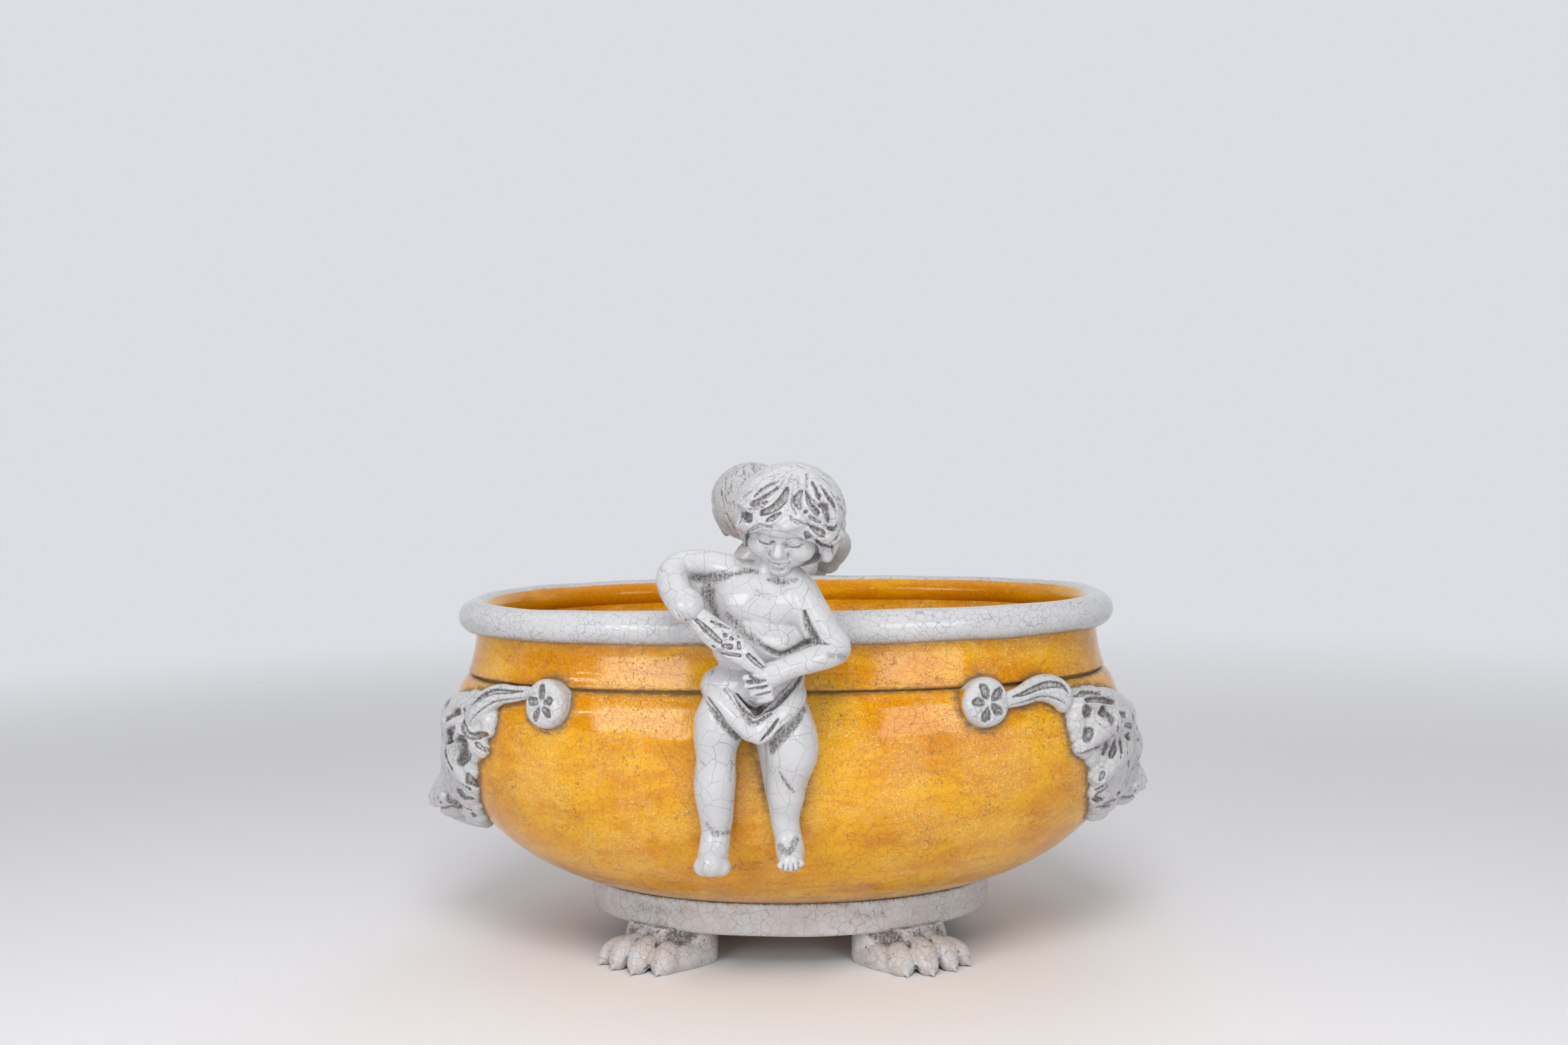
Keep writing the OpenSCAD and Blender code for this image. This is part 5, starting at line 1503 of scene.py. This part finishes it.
class PLANTER_OT_figures(bpy.types.Operator):
    """Model a child with a horn, and seat one against the front and one against the back"""

    bl_idname = "planter.figures"
    bl_label = "Figures"

    # Where each figure's own middle stands along the bowl, in mm
    FRONT_X = -10
    REAR_X = -14

    def set_down(self, at):
        """Figure millimetres to places against the front, in metres"""
        return at * MM + (self.FRONT_X * MM, -RIM_FACE_Y, ROLL_MIDDLE_Z)

    def cut(self, piece, table, crisp=False):
        """Carve strokes that are given from the front"""
        skin = skin_of(piece)
        strokes = []
        for rows, depth, shade in table:
            rows = [(x, -120, z, wide) for x, z, wide in rows]
            rows = smooth_rows(rows, 1.0) if len(rows) > 1 else np.array(rows)
            path = settle(skin, self.set_down(rows[:, :3]), [(0, 1, 0)] * len(rows), rows[:, 3] * MM)
            strokes.append((path, depth * MM, shade, crisp))
        carve(piece, strokes)

    def body(self):
        clay = Clay(self.set_down)
        for middle, sizes in TORSO:
            clay.ball(middle, sizes)
        for rows in (NECK, SHOULDERS, RIGHT_ARM, LEFT_ARM, RIGHT_LEG, LEFT_LEG, WEB, *FINGERS):
            clay.limb(rows)
        for x in (-36, -30, -24):
            clay.ball((x, -16, -155.6), 6.8)
        for row in TOES:
            clay.ball(row[:3], row[3])
        piece = clay.melt(0.95 * MM, 11)
        self.cut(piece, BODY_STROKES)
        patina_and_shade_in_hollows(piece, 22, 3.2 * MM, 0.85)
        return piece

    def cloth(self):
        clay = Clay(self.set_down)
        for rows in BANDS:
            clay.limb(rows)
        piece = clay.melt(0.8 * MM, 6)
        self.cut(piece, CLOTH_STROKES)
        patina_and_shade_in_hollows(piece, 14, 1.6 * MM, 0.7)
        return piece

    def horn(self):
        clay = Clay(self.set_down)
        clay.limb(HORN, 0.8)
        piece = clay.melt(0.6 * MM, 4)
        self.cut(piece, HORN_STROKES, crisp=True)
        ease(piece, 1)
        patina_and_shade_in_hollows(piece, 10, 1.0 * MM, 0.7)
        return piece

    def head(self):
        axes = np.column_stack(head_frame())
        clay = Clay(self.set_down)

        def at(x, y, z):
            return np.array(HEAD_MIDDLE) + axes @ (x, y, z)

        def egg(middle, radii):
            clay.ball(at(*middle), radii, axes)

        def limb(*rows):
            clay.limb([(*at(x, y, z), r) for x, y, z, r in rows])

        # Skull, brow, cheeks and jaw
        egg((0, -3, 1), (27, 27.5, 25))
        egg((0, 6, 0), (24, 21.5, 18))
        egg((0, 7, -8), (25, 21, 22))
        egg((0, 11, -17), (19, 16, 14))
        # The ridge of the brow and the nose, then cheek, eyelid and nose wing on each side
        limb((-12, 22.5, 3.5, 5), (-4, 25.5, 4.4, 5), (4, 25.5, 4.4, 5), (12, 22.5, 3.5, 5))
        limb((0, 25, -3, 2.8), (0, 27.2, -8, 3.0), (0, 29.4, -12, 3.7))
        for side in (-1, 1):
            egg((side * 12, 17, -12.5), (10.5, 9.5, 9.5))
            egg((side * 9.6, 22.6, -4.4), (5.6, 3.8, 3.8))
            egg((side * 3.4, 27.4, -12.8), (2.5, 2.4, 2.0))
        # Lips, chin and neck
        lip = (27.0, -18.0, 2.0)
        limb((-5.4, 25.4, -18.8, 1.5), (-2.4, *lip), (0, 27.0, -18.4, 2.0), (2.4, *lip), (5.4, 25.4, -18.8, 1.5))
        limb((-3.6, 25.4, -21.2, 1.8), (0, 26.6, -21.8, 2.4), (3.6, 25.4, -21.2, 1.8))
        egg((0, 21.5, -27), (7.5, 6.4, 5.4))
        limb((0, 8, -22, 11), (-6, 0, -34, 11))
        piece = clay.melt(0.75 * MM, 7)
        skin = skin_of(piece)
        strokes = []
        sides = [(line, side) for side in (-1, 1) for line in SIDE_LINES] + [(line, 1) for line in MIDDLE_LINES]
        for (rows, depth, shade), side in sides:
            rows = smooth_rows([(side * x, 60, z, wide) for x, z, wide in rows], 1.0)
            starts = self.set_down(np.array([at(*row[:3]) for row in rows]))
            path = settle(skin, starts, [-axes[:, 1]] * len(rows), rows[:, 3] * MM)
            strokes.append((path, depth * MM, shade, False))
        carve(piece, strokes)
        patina_and_shade_in_hollows(piece, 16, 1.6 * MM, 0.6)
        return piece

    def hair(self):
        right, front, top = head_frame()
        clay = Clay(self.set_down)
        clay.ball(HAIR_MIDDLE, (37, 36.5, 33.5))
        clay.ball((27, -8, 72), (34, 28, 30))
        for rows in (*EAR_LOCKS, *FRINGE):
            clay.limb(rows)
        piece = clay.melt(0.75 * MM, 6)
        # The face's opening: what lies before and below the fringe is drawn back into the head
        at = places(piece)
        local = (at - self.set_down(np.array([HEAD_MIDDLE]))) / MM
        ahead, up, across = local @ front, local @ top, local @ right
        fringe = 7 - 0.022 * across**2
        opening = ramp(fringe - up, 2.5) * ramp(ahead - 2, 6)
        inner = ramp(24.5 - np.abs(across), 3.0)
        put(piece, at - front * ((ahead + 4) * opening * inner * MM)[:, None])

        def wider(rows, share):
            return [(x, z, share * wide) for x, z, wide in rows]

        self.cut(piece, [(wider(rows, 1.5), -1.5, 0.0) for rows in HAIR_RIDGES])
        self.cut(piece, [(wider(rows, 1.45), 1.5 * depth, shade) for rows, depth, shade in HAIR_GOUGES], crisp=True)
        carve(piece, self.pits(piece))
        ease(piece, 1)
        patina_and_shade_in_hollows(piece, 10, 1.1 * MM, 0.6)
        return piece

    def pits(self, piece):
        """Short gouges and round pits over the sides and the back, as a tool leaves in wet clay"""
        draw = np.random.default_rng(12)
        skin = skin_of(piece)
        middle = self.set_down(np.array([HAIR_MIDDLE]))[0]
        strokes = []
        for _ in range(190):
            turn, lift = draw.uniform(0, 2 * math.pi), draw.uniform(-0.75, 1.2)
            if math.sin(turn) < -0.25 and lift < 1.1:
                continue
            length = draw.choice([0.0, 0.09, 0.2])
            wide = draw.uniform(0.9, 1.7) if length == 0 else draw.uniform(0.7, 1.2)
            ways, widths = [], []
            for step in (-1, 0, 1):
                t, l = turn + step * length * 0.35, lift - step * length
                ways.append(np.array([math.cos(l) * math.cos(t), math.cos(l) * math.sin(t), math.sin(l)]))
                widths.append(wide * MM * (0.7 if step else 1.0))
            starts = [middle + way * 0.06 for way in ways]
            path = settle(skin, starts, [-way for way in ways], widths)
            strokes.append((path, draw.uniform(0.9, 1.7) * MM, 0.85, True))
        return strokes

    def execute(self, context):
        material = white_glaze("figure glaze", 13 * MM)
        hair_material = white_glaze("hair glaze", 7 * MM)
        made = {
            "child": (self.body(), ("torso", "right_arm", "left_arm", "right_leg", "left_leg"), material),
            "head": (self.head(), ("head",), material),
            "curls": (self.hair(), ("hair",), hair_material),
            "cloth": (self.cloth(), ("loincloth",), material),
            "cornucopia": (self.horn(), ("horn",), hair_material),
        }
        shift = (self.FRONT_X + self.REAR_X) * MM
        for name, (piece, nodes, glaze) in made.items():
            rear = copy_of(piece)
            put(rear, places(rear) * (-1, -1, 1) + (shift, 0, 0))
            for face, part in (("front", piece), ("rear", rear)):
                hand_in(part, f"{face}_{name}", glaze, *[f"{face}_{node}" for node in nodes])
        return {"FINISHED"}


# The stage


class PLANTER_OT_stage(bpy.types.Operator):
    """Set the floor, the backdrop, the lamps and the camera"""

    bl_idname = "planter.stage"
    bl_label = "Stage"

    FLOOR = (0.83, 0.825, 0.835, 1)
    PALE = (0.715, 0.725, 0.76, 1)
    # Soft boxes: place, what it faces, width, height, power, and whether the glaze mirrors it.
    # Two stand upright by the camera, one hangs overhead, one fills the back, one shines from
    # high in front, and a thin strip stands on the left
    LAMPS = (
        ((-0.78, -1.42, 0.55), (0, -0.05, 0.55), 0.66, 0.68, 6.6, True),
        ((0.74, -1.44, 0.52), (0, -0.05, 0.52), 0.70, 0.70, 5.2, True),
        ((-0.2, -0.05, 2.0), (0, 0, 0.1), 2.6, 2.6, 9, True),
        ((0.5, 1.9, 1.4), (0, 0, 0.2), 1.2, 1.2, 6.5, False),
        ((0.1, -1.5, 1.75), (0, -0.1, 0.1), 0.9, 0.9, 23, False),
        ((-1.17, -1.10, 0.56), (-0.1, -0.1, 0.2), 0.36, 0.035, 0.7, True),
    )
    # The camera's place, where it looks, its lean in radians and its lens in mm
    EYE, AHEAD, LEAN, LENS = (0.0743, -1.2147, 0.367), (-0.061, 0.998, -0.0387), 0.016, 35.95

    def execute(self, context):
        self.backdrop()
        for row in self.LAMPS:
            soft_box(*row)
        self.camera()
        return {"FINISHED"}

    def backdrop(self):
        deselect()
        bpy.ops.mesh.primitive_plane_add(size=1, location=(0, 0, 0))
        floor = bpy.context.object
        put(floor, places(floor) * (14, 14, 1))
        floor.name = "studio_floor"
        glaze = Glaze("studio floor")
        glaze.shader.inputs["Base Color"].default_value = self.FLOOR
        glaze.shader.inputs["Roughness"].default_value = 0.7
        # From 0.75 to 2.3 m away the floor sweeps into the backdrop, for the eye and in reflections
        seen = glaze.rays("Is Camera Ray").larger(glaze.rays("Is Glossy Ray"))
        away = glaze.node("ShaderNodeVectorMath", [glaze.place], output="Value", operation="LENGTH")
        sweep = glaze.node("ShaderNodeEmission", {"Color": self.PALE}, output="Emission")
        near = Wire(glaze, glaze.shader.outputs["BSDF"])
        both = glaze.node("ShaderNodeMixShader", {0: seen * glaze.step(away, 0.75, 2.3), 1: near, 2: sweep})
        glaze.feed(glaze.tree.nodes["Material Output"].inputs["Surface"], both)
        floor.data.materials.append(glaze.material)

        air = Air("studio air")
        seen = air.rays("Is Camera Ray").larger(air.rays("Is Transmission Ray"))
        mirrored = air.rays("Is Glossy Ray")
        # The room behind the camera is dimmer than the backdrop
        room = air.node("ShaderNodeSeparateXYZ", [air.place], output="Y")
        dim = 1 - air.step(room, 0.25, -0.35) * 0.82
        strength = seen + mirrored * dim + (1 - seen - mirrored) * 0.40
        background = air.tree.nodes["Background"]
        background.inputs["Color"].default_value = self.PALE
        air.feed(background.inputs["Strength"], strength)

    def camera(self):
        data = bpy.data.cameras.new("camera")
        camera = bpy.data.objects.new("camera", data)
        bpy.context.collection.objects.link(camera)
        data.sensor_width = 36
        data.lens = self.LENS
        data.clip_end = 50
        ahead = Vector(self.AHEAD).normalized()
        side = ahead.cross(Vector((0, 0, 1))).normalized()
        up = side.cross(ahead)
        right = side * math.cos(self.LEAN) - up * math.sin(self.LEAN)
        up = up * math.cos(self.LEAN) + side * math.sin(self.LEAN)
        turn = Matrix((right, up, -ahead)).transposed().to_4x4()
        camera.matrix_world = Matrix.Translation(self.EYE) @ turn
        bpy.context.scene.camera = camera


def soft_box(at, towards, width, height, power, mirrored):
    """A large soft lamp facing a place"""
    data = bpy.data.lights.new("soft box", "AREA")
    data.shape = "RECTANGLE"
    data.size, data.size_y, data.energy = width, height, power
    lamp = bpy.data.objects.new("soft box", data)
    bpy.context.collection.objects.link(lamp)
    lamp.location = at
    lamp.rotation_mode = "QUATERNION"
    lamp.rotation_quaternion = (Vector(towards) - Vector(at)).to_track_quat("-Z", "Y")
    lamp.visible_camera = False
    lamp.visible_glossy = mirrored


class PLANTER_PT_panel(bpy.types.Panel):
    """The planter's pieces, in the order of making"""

    bl_idname = "PLANTER_PT_panel"
    bl_label = "Planter"
    bl_space_type = "VIEW_3D"
    bl_region_type = "UI"
    bl_category = "Planter"

    def draw(self, context):
        for group in (context.scene.planter_bowl, context.scene.planter_glaze):
            for name in group.bl_rna.properties.keys():
                if name not in ("rna_type", "name"):
                    self.layout.prop(group, name)
        for made in OPERATORS:
            self.layout.operator(made.bl_idname)


OPERATORS = (
    PLANTER_OT_stage,
    PLANTER_OT_rim,
    PLANTER_OT_ring,
    PLANTER_OT_paws,
    PLANTER_OT_rosettes,
    PLANTER_OT_swags,
    PLANTER_OT_masks,
    PLANTER_OT_figures,
    PLANTER_OT_bowl,
)
CLASSES = (PlanterBowlSettings, PlanterGlazeSettings, *OPERATORS, PLANTER_PT_panel)


def register():
    for made in CLASSES:
        bpy.utils.register_class(made)
    bpy.types.Scene.planter_bowl = bpy.props.PointerProperty(type=PlanterBowlSettings)
    bpy.types.Scene.planter_glaze = bpy.props.PointerProperty(type=PlanterGlazeSettings)


def unregister():
    del bpy.types.Scene.planter_glaze
    del bpy.types.Scene.planter_bowl
    for made in reversed(CLASSES):
        bpy.utils.unregister_class(made)


def main():
    register()
    bpy.context.scene.view_settings.view_transform = "Standard"
    for made in OPERATORS:
        group, name = made.bl_idname.split(".")
        getattr(getattr(bpy.ops, group), name)()


if __name__ == "__main__":
    main()
